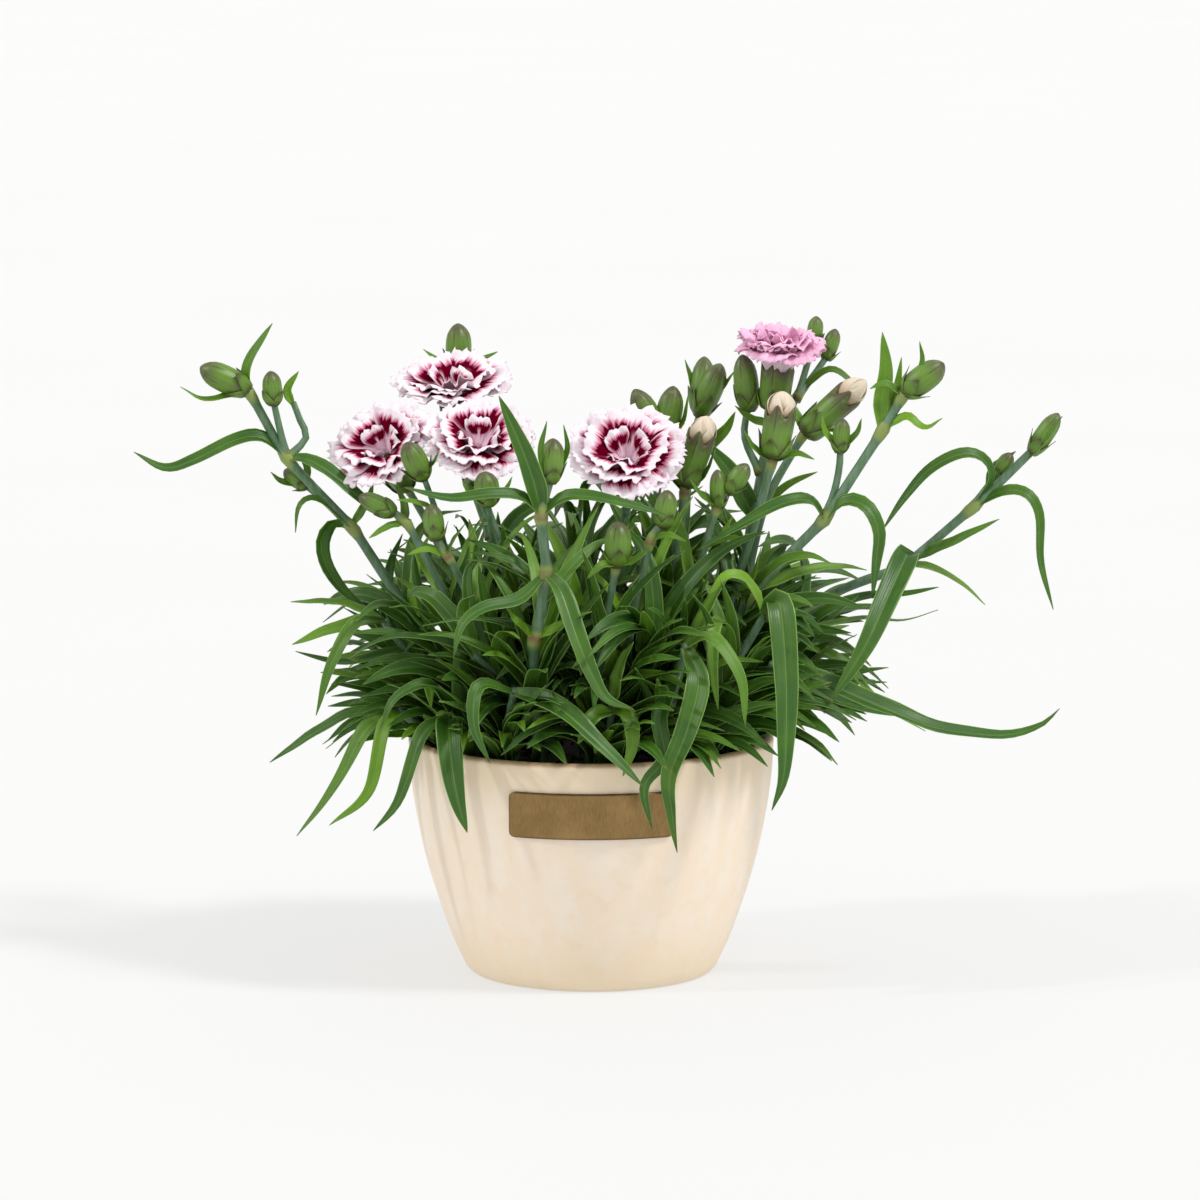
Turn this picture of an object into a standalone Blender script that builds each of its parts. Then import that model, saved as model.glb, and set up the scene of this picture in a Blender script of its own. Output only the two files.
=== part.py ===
"""A dianthus in flower, standing in its round cream pot. Lengths are in millimetres until a mesh is made.

The pot stands on z = 0 with its axis on the Z axis, and its plate faces -Y."""

import math
import random

import bmesh
import bpy
import numpy as np

SEED = 29
TO_METRES = 0.001
GAP = 0.3  # left between pieces that touch

# Pot: radius and height of the outer wall from the foot to the lip.
POT_OUTER = [(46.3, 0.0), (47.8, 0.6), (49.3, 2.2), (54.3, 13.0), (60.0, 29.0), (65.0, 46.0), (68.7, 64.0),
             (70.6, 78.0), (71.3, 90.0), (70.6, 92.7), (69.4, 93.2), (68.3, 92.2)]
POT_WALL = 3.2
POT_FLOOR = 5.0
POT_INSIDE = (29.0, 46.0, 64.0, 88.0)  # heights of the rings of its inner wall
POT_SIDES = 28
RIM_TOP = 93.2
SOIL_TOP = 80.0
SOIL_DOME = 3.0
SOIL_SIDES = 20
HOLE_DEPTH = 12.0

# Plate on the front of the pot.
PLATE_LOW, PLATE_HIGH = 63.8, 81.8
PLATE_HALF_WIDTH = 31.5
PLATE_THICK = 1.3
PLATE_BEVEL = 0.5
PLATE_CORNER = 2.6

LEAF_THICK = 1.0
BROAD = 8.0  # leaves this wide are folded into a trough, narrower ones are flat above with a keel
BROAD_FOLD = 0.34
NARROW_FOLD = 0.2
PETAL_THICK = 0.9
LAP = 1.3  # how far one edge of each petal rides above its neighbour's
TOWARDS_FRONT = np.array((0.0, -1.0, 0.12))
SHOOTS = 19
SHOOT_SPREAD = 54.0

# Rows of a flowering stem: root on the soil, then the line of the stem. Every leaf is (width, show, points),
# where show turns the blade from its natural lie (0) to face the front (1). A bud is (radius, foot, tip).
STEMS = {
    "stem_arching_left": dict(
        line=[(-40, -8), (-46, -8, 98), (-60, -9, 125), (-81.8, -10, 159), (-92.5, -10, 175.4),
              (-117.4, -11, 202.8), (-131.5, -12, 228.2), (-134.5, -12, 231)],
        thick=2.3, joints=[(-92.5, -10, 175.4), (-117.4, -11, 202.8), (-131.5, -12, 228.2)],
        side=[[(-117.4, -11, 202.8), (-120, -13, 214), (-122.5, -14, 226)],
              [(-117.4, -11, 202.8), (-110.3, -7, 210.2), (-112.6, -6, 217), (-115.2, -6, 224)],
              [(-93, -10, 176), (-103.1, -6, 185.1), (-111.8, -5, 192.4)]],
        leaves=[(4.5, 0.6, [(-131.5, -12, 229.4), (-132.8, -12, 237.1), (-129.3, -11, 245),
                            (-122.7, -10, 255)]),
                (4.5, 0.3, [(-131.5, -12, 228), (-141, -14, 227), (-149.4, -15, 226), (-158, -16, 231)]),
                (6.5, 0.5, [(-117.4, -11, 203), (-126.9, -13, 210.9), (-137.2, -15, 210.3),
                            (-152.6, -17, 203),
                            (-164.1, -18, 200), (-176, -18, 206)]),
                (7.0, 0.5, [(-117, -11, 203), (-107.6, -15, 202), (-96.7, -18, 195), (-85.9, -20, 186),
                            (-69, -22, 180)]),
                (7.0, 0.4, [(-92.5, -10, 175.4), (-99.4, -14, 178.5), (-104.5, -16, 169.6),
                            (-99.9, -17, 156.9),
                            (-91.9, -16, 148.1), (-82, -15, 139)]),
                (4.0, 0.5, [(-92.5, -10, 176), (-105.5, -13, 187.1), (-112.6, -15, 184.7),
                            (-114.2, -15, 174.3)]),
                (4.0, 0.5, [(-92.5, -10, 176), (-86.4, -6, 185.9), (-84.4, -5, 193)]),
                (3.6, 0.5, [(-115.2, -6, 223), (-117.4, -6, 229), (-113, -6, 236)]),
                (3.6, 0.5, [(-111.3, -5, 192), (-119.4, -7, 193), (-124, -8, 197)]),
                (3.4, 0.5, [(-111.3, -5, 192), (-110, -4, 198), (-113, -4, 203)])],
        buds=[(5.0, (-133.6, -12, 230), (-150.5, -14, 238.5)), (3.6, (-122.4, -14, 225),
                (-123.4, -14, 237)),
              (3.4, (-110.6, -5, 191.6), (-119, -5, 197.5))]),
    "stem_white_bloom_back": dict(
        line=[(-26, 26), (-28, 27, 110), (-38, 28, 160), (-50, 32, 195)], thick=2.1, joints=[],
        side=[[(-40, 28.5, 166), (-48, 40, 190), (-52, 52, 214), (-52.5, 53, 233)]],
        leaves=[(3.4, 0.5, [(-52.3, 53, 231), (-60.3, 52, 234), (-66.5, 50, 239)]),
                (3.4, 0.5, [(-52.3, 53, 231), (-44.6, 52, 234), (-37, 50, 238)])],
        buds=[(4.9, (-52.5, 53, 232), (-52.8, 53, 249))]),
    "stem_white_bloom_left": dict(
        line=[(-30, 6), (-38, 6, 120), (-56, 5, 160), (-66, 5, 180)], thick=2.1, joints=[],
        side=[[(-54, 5, 157), (-57, -14, 170), (-59.6, -26, 184), (-64, -33, 198)]],
        leaves=[(3.4, 0.5, [(-59.6, -26, 184), (-66, -32, 188), (-74, -38, 190)]),
                (3.2, 0.5, [(-64.5, -33, 199), (-60, -36, 204), (-58, -38, 209)])],
        buds=[(4.6, (-64.6, -33, 199), (-70.6, -39, 212))]),
    "stem_white_bloom_middle": dict(
        line=[(-16, -14), (-20, -14, 120), (-30, -12, 155), (-40, -7, 182)], thick=2.1, joints=[],
        side=[[(-31, -12, 158), (-37, -30, 172), (-39, -43, 187), (-39.4, -45, 191)]],
        leaves=[(3.2, 0.5, [(-39, -45, 190), (-33, -47, 194), (-30, -48, 200)]),
                (3.2, 0.5, [(-39, -45, 190), (-46, -47, 193), (-49, -48, 199)])],
        buds=[(4.6, (-39.2, -45, 190), (-40.4, -48, 202))]),
    "stem_white_bloom_centre": dict(
        line=[(8, -8), (9, -8, 130), (12, -7, 165), (13.8, -5, 182)], thick=2.2, joints=[], side=[],
        leaves=[(4.5, 0.4, [(11, -7, 155), (2, -16, 170), (-6, -26, 176)])], buds=[]),
    "stem_buds_centre_back": dict(
        line=[(20, 18), (22, 20, 140), (26, 23, 185),
              (28, 24, 207)], thick=2.0, joints=[(27.8, 24, 206)], side=[],
        leaves=[(3.4, 0.5, [(27.8, 24, 206), (36, 22, 213), (38, 21, 224)]),
                (3.4, 0.5, [(27.8, 24, 206), (18, 22, 210), (13, 21, 218)])],
        buds=[(4.9, (26.8, 24, 206), (16.8, 22, 226)), (5.0, (28.6, 24, 206), (32.4, 25, 227))]),
    "stem_bud_white_tip_left": dict(
        line=[(24, -2), (28, -3, 130), (33, -5, 165),
              (36.6, -6, 192)], thick=2.0, joints=[(36, -6, 189)], side=[],
        leaves=[(3.6, 0.5, [(36, -6, 189), (44, -9, 196), (48, -10, 206)]),
                (3.6, 0.5, [(36, -6, 189), (31, -4, 196), (29, -3, 203)])], buds=[]),
    "stem_buds_right_back": dict(
        line=[(34, 30), (36, 32, 140), (39, 34, 200),
              (43.3, 34.5, 216)], thick=2.0, joints=[(39, 34, 199)], side=[],
        leaves=[(3.6, 0.5, [(43, 34, 215), (52.3, 33, 226), (57, 32, 233)]),
                (3.6, 0.5, [(43, 34.5, 215), (39.5, 37, 228), (37, 38, 236)]),
                (6.0, 0.8, [(39, 34, 199), (46, 29, 203), (53, 25, 210), (56.5, 23, 217)])],
        buds=[(4.8, (43.4, 34, 216), (51, 33, 235)), (4.6, (43, 35.5, 217), (44.8, 41, 237))]),
    "stem_pink_bloom": dict(
        line=[(42, 10), (48, 11, 120), (60, 12, 160), (66.4, 12, 195), (70.4, 12, 215)], thick=2.4,
        joints=[(64, 12, 176), (70, 12, 213)],
        side=[[(66.2, 12, 194), (60, 15, 208), (62, 18, 222)], [(68, 12, 203), (80, 21, 222),
                (87.6, 29, 245)],
              [(80, 21, 222), (88, 26, 232), (93, 29, 239)]],
        leaves=[(9.0, 0.8, [(64, 12, 176), (57, 9, 190), (52, 8, 198), (47, 7, 204), (44, 6.5, 208)]),
                (4.6, 0.6, [(64, 12, 176), (76, 4, 190), (88, 1, 196)]),
                (4.0, 0.6, [(70.2, 12, 213), (79, 9, 216), (86, 8, 215)]),
                (4.0, 0.6, [(70.2, 12, 213), (62, 9, 216), (56, 8, 221)]),
                (3.4, 0.6, [(82, 23, 225), (93, 20, 234), (101, 18, 230), (106, 17, 222)])],
        buds=[(4.6, (61.8, 18, 220), (59, 19, 240)), (3.0, (87.4, 29, 244), (88.4, 30, 254)),
              (3.0, (92.6, 29, 238), (96, 30, 249))]),
    "stem_bud_white_tip_middle": dict(
        line=[(40, -12), (46, -13, 120), (58, -14, 160), (66, -14, 187), (70.2, -14, 203)], thick=2.1,
        joints=[(70, -14, 202)], side=[],
        leaves=[(4.2, 0.5, [(70, -14, 202), (79, -16, 205), (86, -17, 203)]),
                (4.2, 0.5, [(70, -14, 202), (63, -16, 207), (59, -17, 214)])], buds=[]),
    "stem_bud_white_tip_right": dict(
        line=[(50, 2), (54, 1, 110), (60, 0, 150), (68, 0, 184), (77.2, 0, 202), (83.6, 0, 212)], thick=2.1,
        joints=[(83, 0, 211)], side=[],
        leaves=[(3.8, 0.6, [(83, 0, 211), (90, -3, 214), (97, -4, 211)]),
                (3.8, 0.6, [(83, 0, 211), (79.5, 2, 219), (76, 4, 225)])], buds=[]),
    "stem_arching_right": dict(
        line=[(46, -22), (50, -23, 115), (61.3, -24, 150.9), (89.7, -22, 180.5), (111.9, -20, 214.4),
              (119.8, -20, 227.9), (122.6, -20, 232)],
        thick=2.4, joints=[(61.3, -24, 150.9), (89.7, -22, 180.5), (111.9, -20, 214.4), (120, -20, 228)],
        side=[[(90.1, -22, 181.3), (93.5, -19, 190), (95.6, -18, 200), (96, -18, 209)]],
        leaves=[(7.0, 0.8, [(111.9, -20, 214.4), (111.9, -17, 226), (113.4, -16, 238), (112, -15, 252)]),
                (4.0, 0.7, [(111.9, -20, 214.4), (117.5, -14, 229), (119.6, -12, 242)]),
                (4.0, 0.7, [(111.9, -20, 214.4), (114.6, -13, 229), (114.4, -10, 244)]),
                (5.0, 0.5, [(112.2, -20, 214.6), (120.9, -23, 220), (128, -25, 216), (134.5, -27, 220)]),
                (3.6, 0.5, [(120, -20, 228), (113, -22, 233), (107, -23, 231)]),
                (3.6, 0.5, [(120, -20, 228), (127, -21, 240), (126, -21, 249)]),
                (7.5, 0.4, [(89.7, -22, 180.5), (84, -28, 188.3), (74.3, -33, 188.1), (60.8, -36, 182),
                            (49.3, -37, 175.5),
                            (40, -37, 170)]),
                (7.0, 0.5, [(89.7, -22, 180.5), (97.6, -26, 187.6), (105.5, -29, 186.1),
                            (110.1, -31, 177.4),
                            (109.3, -32, 166), (108, -32, 151)]),
                (6.0, 0.5, [(61.3, -24, 150.9), (70, -30, 163), (82, -33, 168), (92, -35, 165)]),
                (3.2, 0.6, [(95.6, -18, 207), (90, -18, 214), (89, -18, 220)]),
                (3.2, 0.6, [(95.6, -18, 207), (102, -19, 213), (104, -19, 219)])],
        buds=[(5.1, (121.4, -20, 230), (135.5, -20, 240.5)), (3.2, (95.8, -18, 207), (96.8, -18, 219))]),
    "stem_far_right": dict(
        line=[(54, 14), (60, 11, 105), (75, 6, 132), (95.2, 2, 148.3), (121.8, -2, 159.9), (147, -5, 181.8),
              (166.6, -5, 199.4), (172.4, -5, 206.4)],
        thick=2.3, joints=[(121.8, -2, 159.9), (148, -5, 182.8)], side=[[(148, -5, 182.8),
                (154.2, -1, 190.7), (159, 0, 196)]],
        leaves=[(5.5, 0.5, [(148, -5, 182.8), (154.5, -8, 194), (151.9, -10, 202), (143.3, -12, 204.5),
                            (130.8, -15, 199),
                            (120.7, -17, 188), (112, -18, 175)]),
                (5.5, 0.6, [(148, -5, 182.8), (159.5, -9, 189.5), (168.1, -12, 189), (172.8, -13, 181),
                            (173.7, -14, 163.5),
                            (179, -14, 144)]),
                (4.0, 0.6, [(154, -1, 190.7), (157.3, 1, 198), (165, 1, 204)]),
                (5.0, 0.6, [(124, -2.3, 161.8), (140, -10, 170), (150.6, -11, 175.4), (158, -11, 179)]),
                (3.6, 0.6, [(168, -5, 201), (176.4, -9, 211), (182, -10, 219)]),
                (10.5, 0.8, [(121.8, -2, 159.9), (122.2, -14, 165.5), (114.9, -30, 153.3),
                             (106, -42, 136.4), (97.5, -46, 122.7),
                             (91, -47, 113)]),
                (5.5, 0.3, [(121.8, -2, 159.9), (132, 2, 158), (144, 5, 152), (154, 6, 143)])],
        buds=[(3.6, (171.6, -5, 205.4), (181, -5, 219.5)), (3.0, (158, 0, 194.8), (163, -1, 203.6))]),
    "stem_front": dict(
        line=[(-20, -44), (-21, -50, 105), (-22, -58, 129.3), (-21.2, -61, 140.1), (-17, -65, 165.2),
              (-18.8, -68, 188),
              (-15.8, -67, 199.3), (-15.2, -67, 203)],
        thick=2.5, joints=[(-21.2, -61, 140.1), (-17, -65, 165.2), (-18.8, -68, 188)], side=[],
        leaves=[(3.2, 0.6, [(-15.8, -67, 200), (-19, -71, 212), (-16.6, -72, 224)]),
                (3.2, 0.6, [(-15.8, -67, 200), (-9, -66, 211.7), (-10.3, -66, 222)]),
                (8.5, 0.8, [(-18.8, -68, 188), (-21.8, -72, 201.8), (-27.4, -75, 217.3),
                            (-34.5, -76, 234)]),
                (6.0, 0.5, [(-18.8, -68, 188), (-25.8, -73, 195.5), (-38, -78, 197), (-52.8, -80, 196),
                            (-70, -80, 200)]),
                (6.0, 0.5, [(-18.8, -68, 188), (-11, -72, 194.8), (-2.3, -75, 196), (10.9, -77, 194),
                            (29, -77, 189)]),
                (8.0, 0.6, [(-17, -65, 165.2), (-11.3, -73, 159.5), (-5.6, -80, 144), (0, -84, 130.5),
                            (6, -86, 121), (16, -87, 117)]),
                (6.0, 0.5, [(-17, -65, 165.2), (-26.8, -71, 156.5), (-40.2, -77, 154), (-48.6, -80, 148),
                            (-51.6, -82, 136)]),
                (5.0, 0.5, [(-21.2, -61, 140.1), (-28, -66, 147), (-32, -68, 153)]),
                (5.0, 0.5, [(-21.2, -61, 140.1), (-11.7, -66, 145.5), (-5, -68, 150)])],
        buds=[(4.4, (-15.4, -67, 201.6), (-14.2, -67, 217))]),
    "stem_bud_front": dict(
        line=[(2, -36), (3, -42, 115), (5.3, -50, 145.4),
              (10.2, -52, 168.5)], thick=1.9, joints=[(10, -52, 166.6)], side=[],
        leaves=[(3.8, 0.5, [(10, -52, 166.6), (4, -57, 167.4), (-1.6, -59, 162.5)]),
                (3.8, 0.5, [(10, -52, 166.6), (17.1, -56, 169.6), (23, -58, 175)])],
        buds=[(4.9, (10, -52, 167.6), (10.3, -52, 183.5))]),
    "stem_bud_front_right": dict(
        line=[(14, -29), (14, -36, 120), (16, -42, 147.3), (22.9, -44, 175.3), (27.8, -44, 182)], thick=1.9,
        joints=[(22.9, -44, 175)], side=[],
        leaves=[(3.6, 0.5, [(22.9, -44, 175), (29, -50, 178), (36, -53, 176)])],
        buds=[(4.0, (27.6, -44, 181.4), (29.2, -44, 194.5))]),
    "stem_buds_right_front": dict(
        line=[(30, -22), (34, -24, 125), (41.9, -26, 164.4), (49, -28, 187), (53.7, -28, 193)], thick=1.9,
        joints=[(48.6, -28, 186)], side=[],
        leaves=[(3.4, 0.5, [(48.6, -28, 186), (42, -31, 191), (38, -32, 197)])],
        buds=[(3.6, (53.2, -28, 192.4), (60, -28, 202.6)), (3.2, (49, -28, 187), (48.4, -28, 200.4))]),
    "stem_bud_left_front": dict(
        line=[(-36, -30), (-38, -34, 120), (-46.3, -40, 155.5), (-55.4, -42, 168.9),
              (-59.3, -43, 177)], thick=1.9,
        joints=[(-55.4, -42, 168.9)], side=[],
        leaves=[(3.6, 0.5, [(-55.4, -42, 168.9), (-63, -46, 172), (-70, -47, 170)]),
                (3.6, 0.5, [(-55.4, -42, 168.9), (-52, -46, 176), (-48, -48, 182)])],
        buds=[(3.8, (-59.2, -43, 176.4), (-61.2, -43, 189))]),
    "stem_bud_left": dict(
        line=[(-46, -21), (-50, -25, 130), (-61.8, -30, 165), (-71.3, -30, 180),
              (-77.4, -30, 185.3)], thick=1.9,
        joints=[(-71.3, -30, 180)], side=[],
        leaves=[(3.6, 0.5, [(-71.3, -30, 180), (-72, -24, 187), (-75, -21, 193)]),
                (3.6, 0.5, [(-71.3, -30, 180), (-78, -34, 179), (-85, -36, 175)])],
        buds=[(3.6, (-76.6, -30, 184.6), (-89, -30, 190.4))]),
    "shoot_strap_right": dict(
        line=[(38, -40), (47, -43, 110), (58, -46, 134), (66, -48, 147)], thick=2.1, joints=[], side=[],
        leaves=[(10.5, 0.8, [(66, -48, 146), (71.2, -62, 153.7), (73.5, -74, 127), (73.3, -81, 105),
                             (72.2, -84, 89.7),
                             (68, -85, 78)]),
                (6.0, 0.5, [(66, -48, 146), (60, -54, 160), (52, -58, 164), (44, -60, 156)]),
                (6.0, 0.5, [(58, -46, 134), (48, -56, 146), (46, -66, 132), (48, -70, 114)])], buds=[]),
    "shoot_low_right": dict(
        line=[(52, -14), (58, -20, 100), (64, -27, 116), (70, -33, 126)], thick=2.2, joints=[], side=[],
        leaves=[(9.0, 0.5, [(70, -33, 125), (81, -38, 123), (95.5, -40, 117), (114.6, -42, 109),
                            (133.8, -42, 102), (157, -40, 99),
                            (172.5, -38, 102.5), (180, -37, 109)]),
                (8.0, 0.4, [(68, -31, 122), (84, -27, 114), (100, -27, 109), (124, -28, 104)]),
                (6.0, 0.3, [(70, -33, 125), (84, -26, 137), (104, -24, 142), (120, -22, 141),
                            (134, -21, 145)])], buds=[]),
    "shoot_right": dict(
        line=[(58, -2), (66, -5, 105), (78, -8, 130)], thick=2.0, joints=[], side=[],
        leaves=[(6.0, 0.3, [(78, -8, 129), (90, -9, 142), (106, -8, 148), (122, -8, 149.5),
                            (135, -8, 152)]),
                (6.5, 0.4, [(78, -8, 129), (90.9, -12, 127), (101.4, -13, 119), (113.2, -13, 106),
                            (130, -12, 96)])], buds=[]),
    "shoot_hanging_front": dict(
        line=[(26, -44), (30, -53, 110), (34, -62, 132), (36, -65, 138)], thick=2.1, joints=[], side=[],
        leaves=[(9.5, 0.7, [(35.9, -65, 137), (40.5, -76, 126), (36, -82, 108), (29.6, -82, 90.3),
                            (30.5, -81, 75.8), (32.5, -80, 61)]),
                (6.5, 0.6, [(33, -60, 127), (26, -72, 112), (27.6, -77, 97), (20, -79, 86), (23, -80, 70)]),
                (6.0, 0.5, [(35.9, -65, 137), (46, -74, 142), (56, -80, 128), (58, -83, 110)])], buds=[]),
    "shoot_front_left": dict(
        line=[(-32, -44), (-32, -55, 104), (-29, -66, 121)], thick=2.0, joints=[], side=[],
        leaves=[(8.5, 0.6, [(-29, -66, 120), (-13, -80, 117), (3, -87, 104), (19.5, -89, 88)]),
                (6.0, 0.5, [(-29, -66, 120), (-42, -76, 124), (-44, -82, 110), (-38, -84, 96)])], buds=[]),
    "shoot_front": dict(
        line=[(5, -50), (6, -54, 100), (8, -64, 113)], thick=1.9, joints=[], side=[],
        leaves=[(7.0, 0.5, [(8, -63.5, 112.5), (1, -73, 112), (-5, -77, 102)]),
                (6.5, 0.5, [(8, -63.5, 112.5), (14, -73, 112), (15.5, -77, 102), (12, -78.5, 90)]),
                (6.5, 0.4, [(6.6, -57, 104), (-6, -66, 111), (-22, -74, 107), (-34, -78, 98)]),
                (6.0, 0.6, [(8, -63.5, 112.5), (11, -66, 130), (16, -70, 140)])], buds=[]),
    "shoot_strap_left": dict(
        line=[(-46, -34), (-50, -43, 100), (-54, -50, 110)], thick=2.0, joints=[], side=[],
        leaves=[(10.5, 0.8, [(-53.7, -49.5, 108), (-54, -64, 105), (-52.6, -71, 92), (-50.4, -72, 79),
                             (-47, -71, 67)]),
                (6.5, 0.5, [(-53.7, -49.5, 109), (-64, -60, 103), (-70, -64, 86), (-75, -64, 75),
                            (-83, -62, 66)]),
                (6.0, 0.5, [(-53.7, -49.5, 109), (-62, -60, 122), (-74, -66, 118),
                            (-80, -68, 106)])], buds=[]),
    "shoot_low_left": dict(
        line=[(-50, -20), (-54, -22, 97), (-62, -27, 106), (-74, -33, 108)], thick=2.0, joints=[], side=[],
        leaves=[(6.5, 0.4, [(-73, -33, 107), (-92, -31, 106), (-107.5, -31, 98), (-124, -31, 87)]),
                (7.0, 0.5, [(-74, -33, 107), (-86, -42, 102), (-98.2, -46, 80), (-113, -46, 61)]),
                (6.0, 0.5, [(-73, -33, 107), (-79, -48, 104), (-85, -55, 80), (-100, -56, 67)])], buds=[]),
    "shoot_left": dict(
        line=[(-50, -10), (-58, -16, 105), (-70, -20, 130), (-80, -22, 141)], thick=2.1, joints=[], side=[],
        leaves=[(6.0, 0.3, [(-80, -22, 141), (-94.9, -20, 147), (-104.5, -20, 148), (-116, -20, 148)]),
                (7.0, 0.4, [(-80, -22, 141), (-90, -28, 141), (-102, -30, 138), (-115, -31, 133)]),
                (6.0, 0.4, [(-70, -20, 130), (-85.2, -26, 127), (-98.6, -27, 125.5), (-114, -26, 129.6)]),
                (6.0, 0.5, [(-80, -22, 141), (-90, -36, 142), (-99, -41, 128),
                            (-105.5, -41, 107)])], buds=[]),
}

# Open blooms: middle of the flower, the way it faces, its radius, and how far its petals stand up.
BLOOMS = {
    "bloom_white_back": ("stem_white_bloom_back", (-54.5, 27, 226), (-0.05, -0.32, 0.95), 21.5, 0.0),
    "bloom_white_left": ("stem_white_bloom_left", (-80.5, -8, 206), (-0.35, -0.62, 0.7), 19.5, 0.0),
    "bloom_white_middle": ("stem_white_bloom_middle", (-43, -21, 210), (0.06, -0.55, 0.83), 20.5, 0.0),
    "bloom_white_centre": ("stem_white_bloom_centre", (13.8, -22, 205), (0.0, -0.66, 0.75), 22.5, 0.0),
    "bloom_pink": ("stem_pink_bloom", (73.5, 12, 242), (0.1, -0.12, 1.0), 17.0, 34.0),
}
# Closed flowers that show a white tip: stem, foot of the calyx, end of the tip, radius.
TIPS = {
    "bud_tip_left": ("stem_bud_white_tip_left", (36.6, -6, 192), (45.2, -6, 218.5), 5.6),
    "bud_tip_middle": ("stem_bud_white_tip_middle", (70.4, -14, 204), (74.2, -14, 229), 6.0),
    "bud_tip_right": ("stem_bud_white_tip_right", (83.2, 0, 211.4), (106.2, 0, 231.8), 5.6),
}


def unit(v):
    v = np.asarray(v, float)
    return v / np.maximum(np.linalg.norm(v, axis=-1, keepdims=True), 1e-9)


def spline(points, count):
    """A smooth line through the points, as this many stations evenly along it."""
    p = np.array(points, float)
    ends = np.vstack([2 * p[0] - p[1], p, 2 * p[-1] - p[-2]])
    t = np.linspace(0, 1, 10, endpoint=False)[:, None]
    fine = [
        b + 0.5 * ((c - a) * t + (2 * a - 5 * b + 4 * c - d) * t**2 + (3 * b - a - 3 * c + d) * t**3)
        for a, b, c, d in zip(ends, ends[1:], ends[2:], ends[3:])
    ]
    return even(np.vstack(fine + [p[-1:]]), count)


def even(line, count):
    """This many stations evenly along a line of straight runs."""
    run = np.concatenate([[0], np.cumsum(np.linalg.norm(np.diff(line, axis=0), axis=1))])
    at = np.linspace(0, run[-1], count)
    return np.stack([np.interp(at, run, line[:, k]) for k in range(3)], axis=1)


def length_of(points):
    return float(np.linalg.norm(np.diff(np.array(points, float), axis=0), axis=1).sum())


def strip(a, b):
    """Triangles between two rows of point numbers, whatever their counts."""
    faces, i, j = [], 0, 0
    while i < len(a) - 1 or j < len(b) - 1:
        on_b = i == len(a) - 1 or (j < len(b) - 1 and (j + 1) / (len(b) - 1) <= (i + 1) / (len(a) - 1))
        faces.append((a[i], b[j], b[j + 1]) if on_b else (a[i], b[j], a[i + 1]))
        i, j = (i, j + 1) if on_b else (i + 1, j)
    return faces


def rimmed(a, b, first, last):
    """Triangles between two rows of a blade. On its rim rows each one reaches an inner point, so both faces can
    share the rim's points."""
    if first:
        return [(a[0], b[0], b[1])] + strip(a, b[1:-1]) + [(a[-1], b[-2], b[-1])]
    if last:
        return [(a[0], b[0], a[1])] + strip(a[1:-1], b) + [(a[-2], b[-1], a[-1])]
    return strip(a, b)


def keeled(rows, ups, thick):
    """A narrow closed blade: flat above from edge to edge, with a keel below its middle."""
    points, edge, keel = [], [], []
    for row, up in zip(rows, ups):
        ends = [row[0], row[-1]] if len(row) > 1 else [row[0]]
        edge.append(list(range(len(points), len(points) + len(ends))))
        points += ends
        keel.append(len(points))
        points.append(row[len(row) // 2] - thick * 0.6 * up)
    faces = []
    for r in range(len(rows) - 1):
        faces += strip(edge[r], edge[r + 1])
        below = [[edge[k][0]] if k in (0, len(rows) - 1) else [edge[k][0], keel[k],
                edge[k][-1]] for k in (r, r + 1)]
        below[0] = edge[0] if r == 0 else below[0]
        pair = rimmed(*below, True, False) if r == 0 else rimmed(*below, False, r == len(rows) - 2)
        faces += [f[::-1] for f in pair]
    used = sorted({i for f in faces for i in f})
    place = {i: k for k, i in enumerate(used)}
    return np.array([points[i] for i in used]), [tuple(place[i] for i in f) for f in faces]


def sheet(rows, ups, thick):
    """A thin closed blade, sharp all round: its inner points stand half its thickness up and down."""
    points, top, under = [], [], []
    for r, (row, up) in enumerate(zip(rows, ups)):
        t, u = [], []
        for k, p in enumerate(row):
            rim = r in (0, len(rows) - 1) or k in (0, len(row) - 1)
            for side, out in ((1, t), (-1, u)):
                if rim and side < 0:
                    u.append(t[-1])
                    continue
                out.append(len(points))
                points.append(p if rim else p + side * thick / 2 * up)
        top.append(t)
        under.append(u)
    faces = []
    for r in range(len(rows) - 1):
        ends = (r == 0, r == len(rows) - 2)
        faces += rimmed(top[r], top[r + 1], *ends)
        faces += [f[::-1] for f in rimmed(under[r], under[r + 1], *ends)]
    return np.array(points), faces


def leaf_frame(points, width, show, stations):
    """The line of a leaf with, at each station, its half width and the ways across and up."""
    line = spline(points, stations)
    ahead = unit(np.gradient(line, axis=0))
    run = (line[-1] - line[0]) * (1, 1, 0)
    run = run if np.linalg.norm(run) > 4 else np.array((0.0, 1.0, 0.0))
    level = unit(np.cross((0, 0, 1), run))
    ups = unit((1 - show) * np.cross(ahead, level) + show * TOWARDS_FRONT)
    ups = unit(ups - (ups * ahead).sum(1, keepdims=True) * ahead)
    t = np.linspace(0, 1, stations)
    half = width / 2 * np.minimum(1.0, 0.44 + 2.4 * t) * (1 - t**2.6) ** 0.8
    return line, half[:, None], np.cross(ups, ahead), ups


def leaf_rows(points, width, show, stations):
    """Three points across a leaf at each station, folded a little along the midrib, and one at its tip."""
    line, half, sides, ups = leaf_frame(points, width, show, stations)
    fold = half * (BROAD_FOLD if width >= BROAD else NARROW_FOLD) * ups
    rows = [list(row) for row in zip(line - half * sides + fold, line, line + half * sides + fold)]
    return rows[:-1] + [[line[-1]]], ups


def leaf(points, width, show, stations):
    rows, ups = leaf_rows(points, width, show, stations)
    return outward(*(sheet if width >= BROAD else keeled)(rows, ups, LEAF_THICK))


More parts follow.
